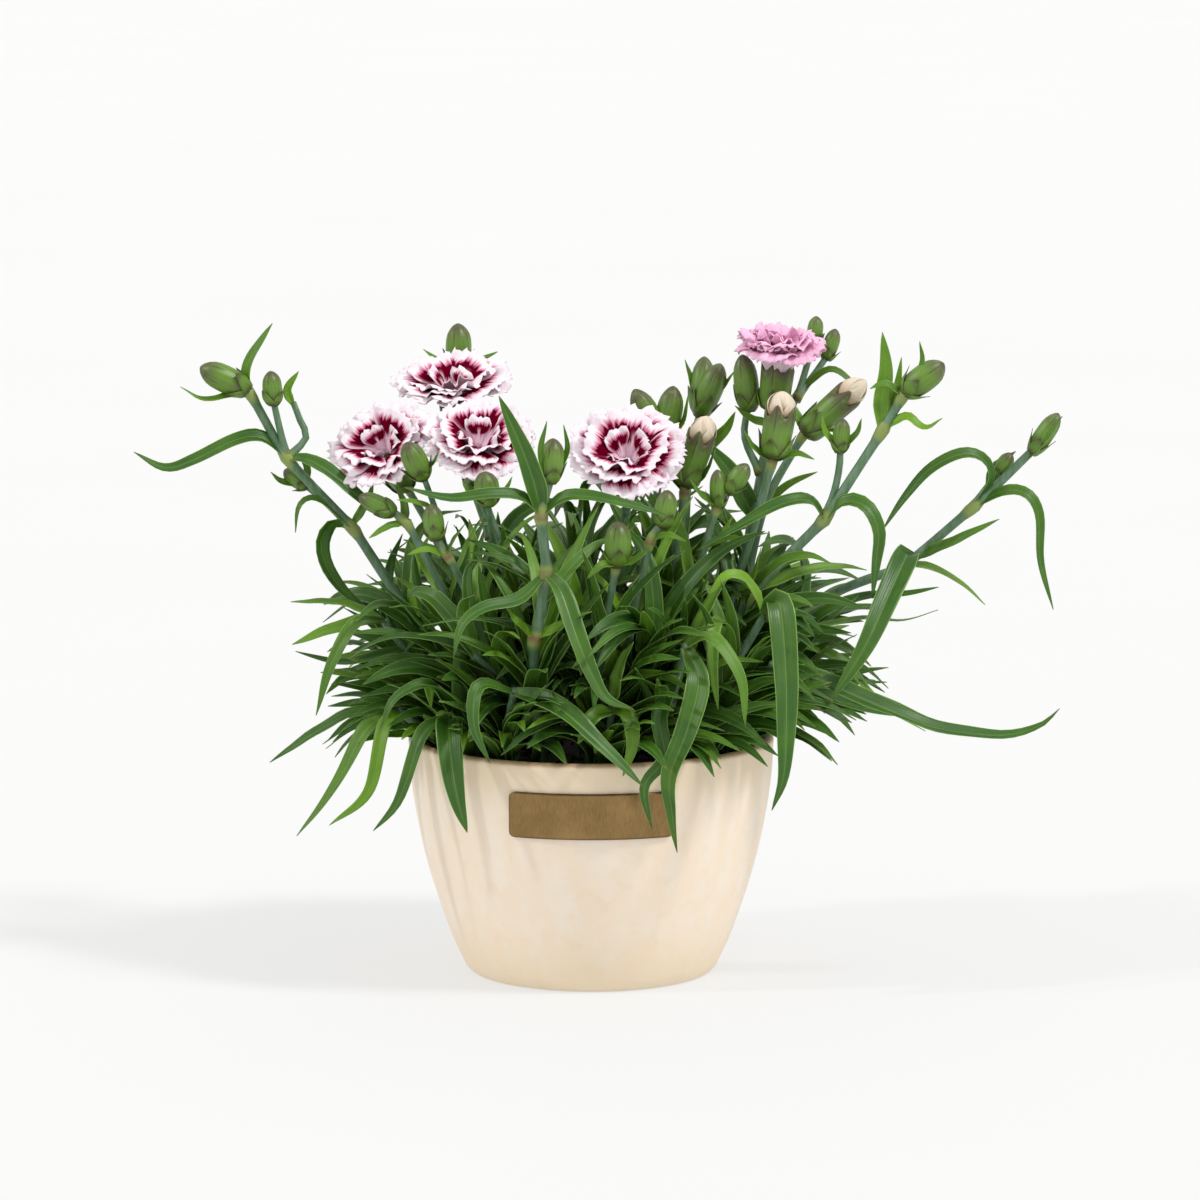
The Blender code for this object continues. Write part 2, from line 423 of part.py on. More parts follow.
def leaf_cloud(points, width, show):
    """Points about a millimetre apart over a leaf."""
    line, half, sides, ups = leaf_frame(points, width, show, int(length_of(points) / 1.0) + 2)
    across = np.linspace(-1, 1, 2 * int(width / 2.2) + 3)
    return np.vstack([line + half * (s * sides + NARROW_FOLD * abs(s) * ups) for s in across])


def outward(points, faces):
    """The mesh with its faces turned out."""
    p = points[np.array(faces)]
    if np.einsum("ij,ij->i", p[:, 0], np.cross(p[:, 1], p[:, 2])).sum() < 0:
        faces = [f[::-1] for f in faces]
    return points, faces


def across_axes(ahead):
    first = unit(np.cross(ahead, (0, 1, 0.2) if abs(ahead[1]) < 0.8 else (1, 0, 0)))
    return first, np.cross(ahead, first)


def tube(line, radii, sides):
    """A round piece along a line. A radius of nothing ends it in a point."""
    ahead = unit(np.gradient(line, axis=0))
    first, _ = across_axes(ahead[0])
    points, rings = [], []
    for p, t, r in zip(line, ahead, radii):
        first = unit(first - (first @ t) * t)
        second = np.cross(t, first)
        angles = [0.0] if r <= 0 else np.arange(sides) * 2 * math.pi / sides
        rings.append([len(points) + k for k in range(len(angles))])
        points += [p + r * (math.cos(a) * first + math.sin(a) * second) for a in angles]
    return closed_rings(points, rings)


def closed_rings(points, rings):
    faces = []
    for a, b in zip(rings, rings[1:]):
        faces += strip(a + a[:1] if len(a) > 1 else a, b + b[:1] if len(b) > 1 else b)
    for ring, turn in ((rings[0], -1), (rings[-1], 1)):
        faces += [(ring[0], ring[k + 1], ring[k])[::turn] for k in range(1, len(ring) - 1)]
    return outward(np.array(points), faces)


def turned(foot, axis, profile, sides, teeth=None):
    """A piece turned about an axis from (distance along, radius) rows. Row teeth[0] is drawn out into teeth."""
    axis = unit(axis)
    first, second = across_axes(axis)
    points, rings = [], []
    for row, (along, r) in enumerate(profile):
        angles = [0.0] if r <= 0 else np.arange(sides) * 2 * math.pi / sides
        rings.append([len(points) + k for k in range(len(angles))])
        for k, a in enumerate(angles):
            lift = teeth[1] * (1 if k % 2 else -1) if teeth and row == teeth[0] else 0
            points.append(foot + (along + lift) * axis + r * (math.cos(a) * first + math.sin(a) * second))
    return closed_rings(points, rings)


def bud(radius, foot, tip, sides=5):
    """A closed green bud: a swelling body drawn in to a point."""
    foot, tip = np.array(foot, float), np.array(tip, float)
    long = np.linalg.norm(tip - foot)
    profile = [(-0.12, 0.45), (0.22, 1.05), (0.66, 0.92), (1.0, 0)]
    return turned(foot, tip - foot, [(a * long, r * radius) for a, r in profile], sides)


def calyx(foot, top, radius, sides=10):
    """The green tube under a flower, with five teeth and a cup inside its mouth."""
    foot, top = np.array(foot, float), np.array(top, float)
    long = np.linalg.norm(top - foot)
    profile = [(-1.0, 0.4), (1.6, 0.86), (long, 1.0), (long - 2.2, 0.78), (long - 3.2, 0.5)]
    return turned(foot, top - foot, [(a, r * radius) for a, r in profile], sides, (2, 1.3))


def stem_radii(line, thick, joints, taper=0.78):
    n = len(line)
    radii = thick * np.linspace(1, taper, n)
    for joint in joints:
        near = np.linalg.norm(line - np.array(joint, float), axis=1)
        radii = radii + thick * 0.42 * np.exp(-((near / 3.4) ** 2))
    return radii


def stem_line(points, joints, step=28.0):
    """Stations along a stem: where it leaves the soil, three about every swollen joint, and some between."""
    fine = spline(points, int(length_of(points) / 0.8) + 2)
    run = np.concatenate([[0], np.cumsum(np.linalg.norm(np.diff(fine, axis=0), axis=1))])
    at = {0.0, run[-1], run[np.argmin(np.linalg.norm(fine - np.array(points[2], float), axis=1))]}
    for joint in joints:
        near = run[np.argmin(np.linalg.norm(fine - np.array(joint, float), axis=1))]
        at |= {max(0.0, near - 4.0), near, min(run[-1], near + 4.0)}
    at = sorted(at)
    kept = [at[0]]
    for a in at[1:]:
        if a - kept[-1] > 2.5:
            kept += list(np.linspace(kept[-1], a, max(1, round((a - kept[-1]) / step)) + 1)[1:])
    kept[-1] = run[-1]
    return np.stack([np.interp(kept, run, fine[:, k]) for k in range(3)], axis=1)


def tube_cloud(points, thick):
    """Points about a millimetre apart over a stem."""
    line = spline(points, int(length_of(points)) + 2)
    ahead = unit(np.gradient(line, axis=0))
    first = unit(np.cross(ahead, (0.3, 1, 0.2)))
    second = np.cross(ahead, first)
    turns = np.arange(12) * math.pi / 6
    return np.vstack([line] + [line + thick * (math.cos(a) * first + math.sin(a) * second) for a in turns])


class Room:
    """Which cell of the air round the plant belongs to which piece, so that no leaf is put through another."""

    CELL = 1.2
    LOW = np.array((-200.0, -130.0, -4.0))
    SHAPE = (334, 217, 225)

    def __init__(self):
        self.owner = np.zeros(self.SHAPE, np.int16)

    def cells(self, cloud):
        found = np.floor((cloud - self.LOW) / self.CELL).astype(int)
        return np.clip(found, 1, np.array(self.SHAPE) - 2)

    def taken(self, cloud, own):
        c = self.cells(cloud)
        held = self.owner[c[:, 0], c[:, 1], c[:, 2]]
        return int(((held != 0) & (held != own)).sum()), int((held == own).sum())

    def fill(self, cloud, own):
        c = self.cells(cloud)
        for dx in (-1, 0, 1):
            for dy in (-1, 0, 1):
                for dz in (-1, 0, 1):
                    x, y, z = c[:, 0] + dx, c[:, 1] + dy, c[:, 2] + dz
                    held = self.owner[x, y, z]
                    self.owner[x, y, z] = np.where(held == 0, own, held)


def pot_radius(z):
    outer = POT_OUTER[:9]
    return float(np.interp(z, [p[1] for p in outer], [p[0] for p in outer]))


def inner_radius(z):
    """The pot's inner wall, straight between its rings."""
    rings = [POT_FLOOR + 2.0, *POT_INSIDE]
    return float(np.interp(z, rings, [49.0] + [pot_radius(h) - POT_WALL for h in POT_INSIDE]))


def soil_height(x, y):
    return SOIL_TOP + SOIL_DOME * (1 - (x * x + y * y) / 67.0**2)


def full_line(line):
    """The stem's line, begun at the foot of its hole in the soil."""
    x, y = line[0]
    ground = soil_height(x, y)
    return [(x, y, ground - HOLE_DEPTH + GAP), (x, y, ground - 4), (x, y, ground + 3)] + list(line[1:])


def petal_rows(bloom, angle, long, wide, lift, phase, teeth):
    """Rows of points from the claw to the fringed edge of one petal, and the upward way of each row."""
    _, centre, axis, _, _ = bloom
    axis = unit(axis)
    first, second = across_axes(axis)
    out = math.cos(angle) * first + math.sin(angle) * second
    across = np.cross(axis, out)
    steps = [(-1.0, 0.14, 2), (0.52, 0.88, 4), (1.0, 1.0, 2 * teeth + 1)]
    rows, ups = [], []
    for u, broad, count in steps:
        tilt = math.radians(lift + 26 * (1 - max(u, 0)) - 16 * max(u, 0) ** 2)
        up = math.cos(tilt) * axis - math.sin(tilt) * out
        row = []
        for k, v in enumerate(np.linspace(-1, 1, count)):
            reach = u
            if count > 4:
                reach = 1.0 - 0.2 * v * v + (0.055 if k % 2 else -0.065)
            if u < 0:
                rho, high = 1.2, -3.6
            else:
                rho = 2.6 + long * reach * math.cos(tilt)
                high = -1.5 + long * reach * math.sin(tilt)
            wave = 0.07 * long * max(u, 0) ** 1.5 * math.sin(2 * math.pi * v) * phase + LAP * v
            row.append(np.array(centre) + rho * out + high * axis + v * broad * wide / 2 * across + wave * up)
        rows.append(row)
        ups.append(up)
    return rows, ups


def petals_of(bloom, rng):
    """Rows of every petal of a bloom, outermost ring first."""
    _, _, _, radius, raised = bloom
    rings = [(5, 0.9, 0.98, 6, 4), (4, 0.72, 0.82, 36 + raised / 3, 3)]
    made, turn = [], rng.uniform(0, 6)
    for count, long, wide, lift, teeth in rings:
        for k in range(count):
            angle = turn + 2 * math.pi * (k + rng.uniform(-0.08, 0.08)) / count
            made.append(petal_rows(bloom, angle, radius * long * rng.uniform(0.94, 1.0),
                                   radius * wide * (1 - raised / 300),
                                   min(lift + raised * (1 - lift / 80) + rng.uniform(-2, 2),
                                       84), rng.uniform(-1, 1), teeth))
        turn += math.pi / count
    return made


def bloom_core(bloom):
    _, centre, axis, _, _ = bloom
    return turned(np.array(centre, float), axis, [(-8.4, 1.6), (-6.0, 2.4), (-1.5, 4.2), (0.6, 3.6)], 7)


def droop_leaf(rng, start, ahead, out, long, width, fall):
    """Points of a leaf that leaves a stem beside its tip, then bends over and hangs as it lengthens."""
    lean = rng.uniform(18, 42)
    points = [np.array(start, float)]
    way = unit(math.cos(math.radians(lean)) * ahead + math.sin(math.radians(lean)) * out)
    sideways = unit(np.cross(ahead, out)) * rng.uniform(-0.12, 0.12)
    for k in range(5):
        points.append(points[-1] + way * long / 5)
        level = unit(out * (1, 1, 0.0) + 1e-6)
        way = unit(way + fall * (0.4 + 0.28 * k) * (0.45 * level - np.array((0, 0, 0.75))) + sideways)
    return [tuple(p) for p in points]


def inside_bush(points):
    """Whether a leaf keeps within the spread of the tuft, and clear of the pot's wall."""
    p = np.array(points)[1:]
    spread = np.linalg.norm((p[:, :2] - (6, 0)) / (112, 92), axis=1)
    high = p[:, 2] < 196 - 46 * spread**2
    wall = (np.hypot(p[:, 0], p[:, 1]) < 64) | (p[:, 2] > RIM_TOP + 3.0) | (np.hypot(p[:, 0], p[:, 1]) > 76)
    low = p[:, 2] > np.where(np.hypot(p[:, 0], p[:, 1]) < 66, 86, 66)
    return bool((spread < 1.0).all() and high.all() and wall.all() and low.all())


def grow_pairs(rng, room, own, line, spots, turn, long, width):
    """Opposite pairs of leaves along a stem, each pair at a right angle to the last. A leaf with no room is left
    out."""
    line = even(line, 60)
    ahead = unit(np.gradient(line, axis=0))
    made = []
    for n, spot in enumerate(spots):
        k = min(59, int(spot * 59))
        first, second = across_axes(ahead[k])
        for half in (0, math.pi):
            for tries in range(40):
                a = turn + half + n * math.pi / 2 + rng.uniform(-0.5, 0.5)
                out = math.cos(a) * first + math.sin(a) * second
                size = long * rng.uniform(0.8, 1.15) * (1 - 0.012 * tries)
                fall = rng.uniform(0.12, 0.6)
                points = droop_leaf(rng, line[k], ahead[k], out, size, width, fall)
                wide = width * rng.uniform(0.85, 1.12)
                show = rng.uniform(0.1, 0.6)
                cloud = leaf_cloud(points, wide, show)
                free = cloud[np.linalg.norm(cloud - line[k], axis=1) > 5.0]
                others, itself = room.taken(free, own)
                if inside_bush(points) and others == 0 and itself < 70:
                    made.append((wide, show, points))
                    room.fill(cloud, own)
                    break
    return made


def shoot_root(rng, plants):
    """The barest of a few random spots on the soil."""
    best = (0, 0, 0)
    for _ in range(24):
        r, a = SHOOT_SPREAD * math.sqrt(rng.random()), rng.uniform(0, 2 * math.pi)
        x, y = r * math.cos(a), r * math.sin(a)
        near = min(math.hypot(x - s["line"][0][0], y - s["line"][0][1]) for s in plants.values())
        best = max(best, (near, x, y))
    return best


def shoot_line(rng, x, y):
    """A basal shoot: it stands up in the middle of the tuft and leans out near its edge."""
    r = math.hypot(x, y) / SHOOT_SPREAD
    away = math.atan2(y, x) + rng.uniform(-0.4, 0.4)
    out = np.array((math.cos(away), math.sin(away), 0))
    long = rng.uniform(44, 70) * (1.12 - 0.3 * r)
    lean, bend = math.radians(2 + 14 * r), math.radians(16 + 50 * r)
    p = np.array((x, y, soil_height(x, y) + 3.0))
    points = []
    for k in range(1, 5):
        a = lean + bend * (k / 4) ** 1.5
        p = p + long / 4 * (math.cos(a) * np.array((0, 0, 1)) + math.sin(a) * out)
        points.append(tuple(p))
    return [(x, y)] + points


def plan():
    """Every stem and shoot with its line and leaves, found in one fixed order."""
    rng = random.Random(SEED)
    room = Room()
    ring = np.linspace(0, 2 * math.pi, 480)
    for z in np.arange(0, RIM_TOP + 1, 1.0):
        for r in (pot_radius(z), pot_radius(z) - POT_WALL):
            room.fill(np.stack([r * np.cos(ring), r * np.sin(ring), np.full(480, z)], axis=1), 1)
    blooms = {name: petals_of(bloom, rng) for name, bloom in BLOOMS.items()}
    for own, (name, petals) in enumerate(blooms.items(), 2):
        for rows, _ in petals:
            room.fill(spread(rows), own)
    plants = {}
    for own, (name, spec) in enumerate(STEMS.items(), 10):
        line = full_line(spec["line"])
        plants[name] = dict(spec, line=line, own=own, leaves=list(spec["leaves"]))
        room.fill(tube_cloud(line, spec["thick"] + 0.6), own)
        for extra in spec["side"]:
            room.fill(tube_cloud(extra, spec["thick"]), own)
        for width, show, points in spec["leaves"]:
            room.fill(leaf_cloud(points, width, show), own)
        for radius, foot, tip in spec["buds"]:
            room.fill(tube_cloud([foot, tip], radius + 1.0), own)
    for name, (stem, foot, tip, radius) in TIPS.items():
        room.fill(tube_cloud([foot, tip], radius + 1.5), plants[stem]["own"])
    for name, (stem, centre, axis, _, _) in BLOOMS.items():
        foot = np.array(centre) - 22 * unit(axis)
        room.fill(tube_cloud([foot, centre], 6.5), plants[stem]["own"])
    for k in range(SHOOTS):
        for tries in range(80):
            near, x, y = shoot_root(rng, plants)
            line = shoot_line(rng, x, y)
            if near > 6.2 and room.taken(tube_cloud(full_line(line), 2.4), 60 + k)[0] == 0:
                break
        else:
            continue
        line = full_line(line)
        own = 60 + k
        room.fill(tube_cloud(line, 2.4), own)
        plants[f"shoot_{k + 1:02d}"] = dict(line=line, own=own, thick=1.9, joints=[], side=[], leaves=[],
                                            buds=[])
    for name, p in plants.items():
        wild = name[-1].isdigit()
        r = math.hypot(p["line"][0][0], p["line"][0][1]) / SHOOT_SPREAD
        spots = [0.44, 0.62, 0.8, 0.99] if wild else ([0.34] if p["line"][-1][2] > 160 else [0.5])
        long = (80 - 10 * r) if wild else 58
        p["leaves"] += grow_pairs(rng, room, p["own"], stem_line(p["line"], p["joints"]), spots,
                                  rng.uniform(0, 6), long, 7.0)
    return plants, blooms


def spread(rows):
    """Points about a millimetre apart over a petal."""
    cloud = []
    for a, b in zip(rows, rows[1:]):
        a, b = spline_row(a, 20), spline_row(b, 20)
        cloud += [a + (b - a) * t for t in np.linspace(0, 1, 10)]
    return np.vstack(cloud)


def spline_row(row, count):
    row = np.array(row)
    at = np.linspace(0, len(row) - 1, count)
    return np.stack([np.interp(at, np.arange(len(row)), row[:, k]) for k in range(3)], axis=1)


def plant_pieces(name, p):
    """Closed pieces of one stem or shoot: stem, branches, leaves, buds and the tube under each flower."""
    line = stem_line(p["line"], p["joints"])
    slim = p["own"] >= 60
    pieces = [tube(line, stem_radii(line, p["thick"], p["joints"]), 4 if slim else 5)]
    for extra in p["side"]:
        side = spline(extra, 4 if len(extra) > 3 else 3)
        pieces.append(tube(side, stem_radii(side, 0.72 * p["thick"], []), 4))
    for width, show, points in p["leaves"]:
        wild = len(points) == 6 and p["own"] >= 60
        stations = max(3, min(6, round(length_of(points) / (34 if wild else 25)) + 2))
        pieces.append(leaf(points, width, show, stations))
    for radius, foot, tip in p["buds"]:
        pieces.append(bud(radius, foot, tip))
    for stem, centre, axis, _, raised in BLOOMS.values():
        if stem == name:
            axis = unit(axis)
            foot, top = np.array(centre) - 23 * axis, np.array(centre) - 6 * axis
            pieces.append(tube(np.array([line[-1] - 3 * unit(line[-1] - line[-2]), foot + 1.5 * axis]),
                               [p["thick"] * 0.8] * 2, 6))
            pieces.append(calyx(foot, top, 6.4 if raised else 5.4))
    for stem, foot, tip, radius in TIPS.values():
        if stem == name:
            foot, tip = np.array(foot, float), np.array(tip, float)
            pieces.append(calyx(foot, foot + 0.7 * (tip - foot), radius))
    return pieces


def tip_piece(foot, tip, radius):
    foot, tip = np.array(foot, float), np.array(tip, float)
    long = np.linalg.norm(tip - foot)
    cup = 0.7 * long
    profile = [(cup - 2.9, 0.4), (cup - 1.6, 0.62), (cup + 1.9, 0.86), (cup + 0.16 * long, 0.8),
               (long - 1.0, 0.45), (long, 0)]
    return turned(foot, tip - foot, [(a, r * radius) for a, r in profile], 8)


def mesh_object(name, points, faces):
    mesh = bpy.data.meshes.new(name)
    mesh.from_pydata([tuple(p) for p in np.asarray(points) * TO_METRES], [],
                     [tuple(int(i) for i in f) for f in faces])
    mesh.validate()
    obj = bpy.data.objects.new(name, mesh)
    bpy.context.scene.collection.objects.link(obj)
    return obj


def boolean(obj, others, operation, solver="MANIFOLD"):
    """Apply one Boolean of the object with all the others, and remove them."""
    group = bpy.data.collections.new("operands")
    for other in others:
        group.objects.link(other)
    modifier = obj.modifiers.new("join", "BOOLEAN")
    modifier.operation = operation
    modifier.operand_type = "COLLECTION"
    modifier.solver = solver
    modifier.collection = group
    bpy.context.view_layer.update()
    made = bpy.data.meshes.new_from_object(obj.evaluated_get(bpy.context.evaluated_depsgraph_get()))
    obj.modifiers.clear()
    old, obj.data = obj.data, made
    bpy.data.meshes.remove(old)
    bpy.data.collections.remove(group)
    for other in others:
        bpy.data.objects.remove(other)


def keep_largest(obj):
    """Drop any sealed hollow or loose scrap that joining left."""
    bm = bmesh.new()
    bm.from_mesh(obj.data)
    seen, parts = set(), []
    for start in bm.verts:
        if start in seen:
            continue
        part, queue = [], [start]
        seen.add(start)
        while queue:
            v = queue.pop()
            part.append(v)
            for e in v.link_edges:
                w = e.other_vert(v)
                if w not in seen:
                    seen.add(w)
                    queue.append(w)
        parts.append(part)
    parts.sort(key=len)
    for part in parts[:-1]:
        bmesh.ops.delete(bm, geom=part, context="VERTS")
    bm.to_mesh(obj.data)
    bm.free()


def fused(name, pieces, finish):
    made = [mesh_object(name if k == 0 else f"{name}_{k}", *piece) for k, piece in enumerate(pieces)]
    if len(made) > 1:
        boolean(made[0], made[1:], "UNION")
        keep_largest(made[0])
    painted(made[0], finish)
    return made[0]


def material(name, colour, rough, metallic=0.0):
    made = bpy.data.materials.new(name)
    made.use_nodes = True
    shader = made.node_tree.nodes["Principled BSDF"]
    shader.inputs["Base Color"].default_value = (*colour, 1)
    shader.inputs["Roughness"].default_value = rough
    shader.inputs["Metallic"].default_value = metallic
    made.diffuse_color = (*colour, 1)
    return made


def painted(obj, finish):
    obj.data.materials.clear()
    obj.data.materials.append(material(obj.name, *finish))


CREAM = ((0.82, 0.68, 0.5), 0.55)
BRASS = ((0.36, 0.25, 0.12), 0.4, 1.0)
EARTH = ((0.05, 0.035, 0.025), 0.95)
GREEN = ((0.07, 0.19, 0.06), 0.5)
WHITE_PINK = ((0.9, 0.72, 0.8), 0.6)
PINK = ((0.85, 0.4, 0.6), 0.6)
IVORY = ((0.9, 0.8, 0.7), 0.6)


def pot():
    inner = [(z, inner_radius(z)) for z in POT_INSIDE[::-1]] + [(POT_FLOOR + 2.0,
            inner_radius(POT_FLOOR + 2)), (POT_FLOOR, 45.5)]
    profile = [(z, r) for r, z in POT_OUTER] + inner + [(POT_FLOOR, 0)]
    profile = [(0.0, 0.0)] + profile
    painted(mesh_object("pot", *turned(np.zeros(3), (0, 0, 1), profile, POT_SIDES)), CREAM)


def plate():
    """The bent plate: a column of six points at each step across the front of the pot."""
    points, rings = [], []
    corner = [PLATE_CORNER * (1 - math.cos(math.radians(a))) for a in (0, 30, 60, 90)]
    inset = [PLATE_CORNER * (1 - math.sin(math.radians(a))) for a in (0, 30, 60, 90)]
    spans = [(-PLATE_HALF_WIDTH + c, i) for c, i in zip(corner, inset)]
    spans += [(x, 0.0) for x in np.linspace(-PLATE_HALF_WIDTH + PLATE_CORNER,
                                            PLATE_HALF_WIDTH - PLATE_CORNER, 11)[1:-1]]
    spans += [(PLATE_HALF_WIDTH - c, i) for c, i in list(zip(corner, inset))[::-1]]
    for x, i in spans:
        low, high = PLATE_LOW + i, PLATE_HIGH - i
        ring = []
        for z, out in ((low, 0), (low, PLATE_THICK - PLATE_BEVEL), (low + PLATE_BEVEL, PLATE_THICK),
                       (high - PLATE_BEVEL, PLATE_THICK), (high, PLATE_THICK - PLATE_BEVEL), (high, 0)):
            inner = pot_radius(z) + GAP
            angle = math.asin(x / (inner + PLATE_THICK))
            edge = PLATE_BEVEL if abs(x) > PLATE_HALF_WIDTH - 0.01 else 0
            r = inner + max(0, out - edge)
            ring.append(len(points))
            points.append(np.array((r * math.sin(angle), -r * math.cos(angle), z)))
        rings.append(ring)
    painted(mesh_object("nameplate", *closed_rings(points, rings)), BRASS)


def soil(plants):
    """Soil filling the pot, with a plain hole for every stem."""
    wall = [(inner_radius(z) - 1.7 * GAP, z) for z in (SOIL_TOP - 2, *POT_INSIDE[2::-1],
                                                       POT_FLOOR + 2.4)] + [(44.8, POT_FLOOR + GAP)]
    profile = [(POT_FLOOR + GAP, 0)] + [(z, r) for r, z in wall[::-1]]
    profile += [(SOIL_TOP + 0.1, 62.0), (SOIL_TOP + 0.72 * SOIL_DOME, 30.0), (SOIL_TOP + SOIL_DOME, 0)]
    ground = mesh_object("soil", *turned(np.zeros(3), (0, 0, 1), profile, SOIL_SIDES))
    cutters = []
    for p in plants.values():
        x, y, foot = p["line"][0]
        r = (p["thick"] + 0.1) / math.cos(math.pi / 4) + GAP
        hole = turned(np.array((x, y, foot - GAP)), (0, 0, 1), [(0, r), (HOLE_DEPTH + 8, r)], 4)
        cutters.append(mesh_object("hole", *hole))
    boolean(ground, cutters, "DIFFERENCE", "EXACT")
    painted(ground, EARTH)


def main():
    for obj in list(bpy.data.objects):
        bpy.data.objects.remove(obj)
    plants, blooms = plan()
    pot()
    plate()
    soil(plants)
    for name, p in plants.items():
        fused(name, plant_pieces(name, p), GREEN)
    for name, petals in blooms.items():
        pieces = [bloom_core(BLOOMS[name])] + [outward(*sheet(rows, ups, PETAL_THICK)) for rows,
                                               ups in petals]
        fused(name, pieces, PINK if name.endswith("pink") else WHITE_PINK)
    for name, (_, foot, tip, radius) in TIPS.items():
        fused(name, [tip_piece(foot, tip, radius)], IVORY)


main()
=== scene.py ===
"""A dianthus in flower in its round cream pot: the finished look of every piece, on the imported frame.

Lengths are in millimetres until a mesh is made. The pot's axis is the Z axis, and its plate faces -Y."""

import math
import random

import bmesh
import bpy
import numpy as np
from bpy.props import FloatProperty, FloatVectorProperty, IntProperty, PointerProperty
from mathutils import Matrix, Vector, noise


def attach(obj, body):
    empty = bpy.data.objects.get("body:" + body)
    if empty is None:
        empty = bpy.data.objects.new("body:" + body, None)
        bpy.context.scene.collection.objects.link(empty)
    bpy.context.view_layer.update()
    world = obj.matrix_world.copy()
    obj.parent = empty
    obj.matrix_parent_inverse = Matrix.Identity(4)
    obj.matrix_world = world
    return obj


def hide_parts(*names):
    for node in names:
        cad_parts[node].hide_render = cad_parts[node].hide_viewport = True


bl_info = {
    "name": "Potted Dianthus",
    "version": (1, 0, 0),
    "blender": (4, 5, 0),
    "location": "3D View > Sidebar > Dianthus",
    "description": "A dianthus in flower in its round cream pot, piece by piece",
    "category": "Add Mesh",
}

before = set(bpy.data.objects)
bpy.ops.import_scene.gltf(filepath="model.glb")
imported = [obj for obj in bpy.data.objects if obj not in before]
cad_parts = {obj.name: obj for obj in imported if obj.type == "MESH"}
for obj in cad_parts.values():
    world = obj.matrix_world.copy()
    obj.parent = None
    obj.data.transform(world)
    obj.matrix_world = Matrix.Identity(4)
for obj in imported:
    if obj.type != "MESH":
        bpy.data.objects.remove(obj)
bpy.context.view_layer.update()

SEED = 29
MM = 0.001
GAP = 0.3  # left between pieces that touch
# Pot: radius and height of the outer wall from the foot to the lip, and then of the lip.
POT_OUTER = [(46.3, 0.0), (47.8, 0.6), (49.3, 2.2), (54.3, 13.0), (60.0, 29.0), (65.0, 46.0), (68.7, 64.0),
             (70.6, 78.0), (71.3, 90.0)]
POT_LIP = [(71.45, 91.0), (71.2, 92.0), (70.5, 92.8), (69.5, 93.2), (68.6, 93.0), (68.1, 92.3)]
POT_WALL = 3.2
POT_FLOOR = 5.0
POT_INSIDE = (29.0, 46.0, 64.0, 88.0)  # heights of the rings of its inner wall
RIM_TOP = 93.2
SOIL_TOP = 80.0
SOIL_DOME = 3.0
SOIL_RADIUS = 67.0  # where the dome of the soil comes down to its edge
HOLE_DEPTH = 12.0
# Plate on the front of the pot.
PLATE_LOW, PLATE_HIGH = 63.8, 81.8
PLATE_HALF_WIDTH = 31.5
PLATE_THICK = 1.3
PLATE_CORNER = 2.6
PLATE_BANDS = 42  # flat bands that the plate is cut into before it is bent
BROAD = 8.0  # leaves this wide are folded into a trough, narrower ones are flat above with a keel
NARROW_FOLD = 0.2
AT_FOOT = 5.0  # so near its own foot, a leaf may touch
TUBE_SHARE = 0.7  # of a closed flower is green tube, the rest its white tip
TUBE_FOOT, TUBE_TOP = 23, 6  # how far below an open flower's middle its tube begins and ends
LAP = 1.3  # how far one edge of each petal rides above its neighbour's
TOWARDS_FRONT = np.array((0.0, -1.0, 0.12))
SHOOTS = 19
SHOOT_SPREAD = 54.0
SHOOT_THICK = 1.9
SHOOT_ROOM = 2.4  # the same with the space that a shoot needs round it
ROOT_CLEAR = 6.2
TRIES = 80  # places tried for each shoot
# The spread of the tuft: its middle, its half widths, its top and how far that falls towards its edge.
TUFT_MIDDLE, TUFT_HALF, TUFT_TOP, TUFT_FALL = (6, 0), (112, 92), 196, 46
# The numbers by which the room knows its pieces: these are the first of each kind.
POT_OWNER, BLOOM_OWNER, STEM_OWNER, SHOOT_OWNER = 1, 2, 10, 60
STATIONS = 60  # places along a stem where leaves may grow


def plant(thick, line, leaves, joints=(), side=(), buds=()):
    return dict(thick=thick, line=line, leaves=leaves, joints=joints, side=side, buds=buds)


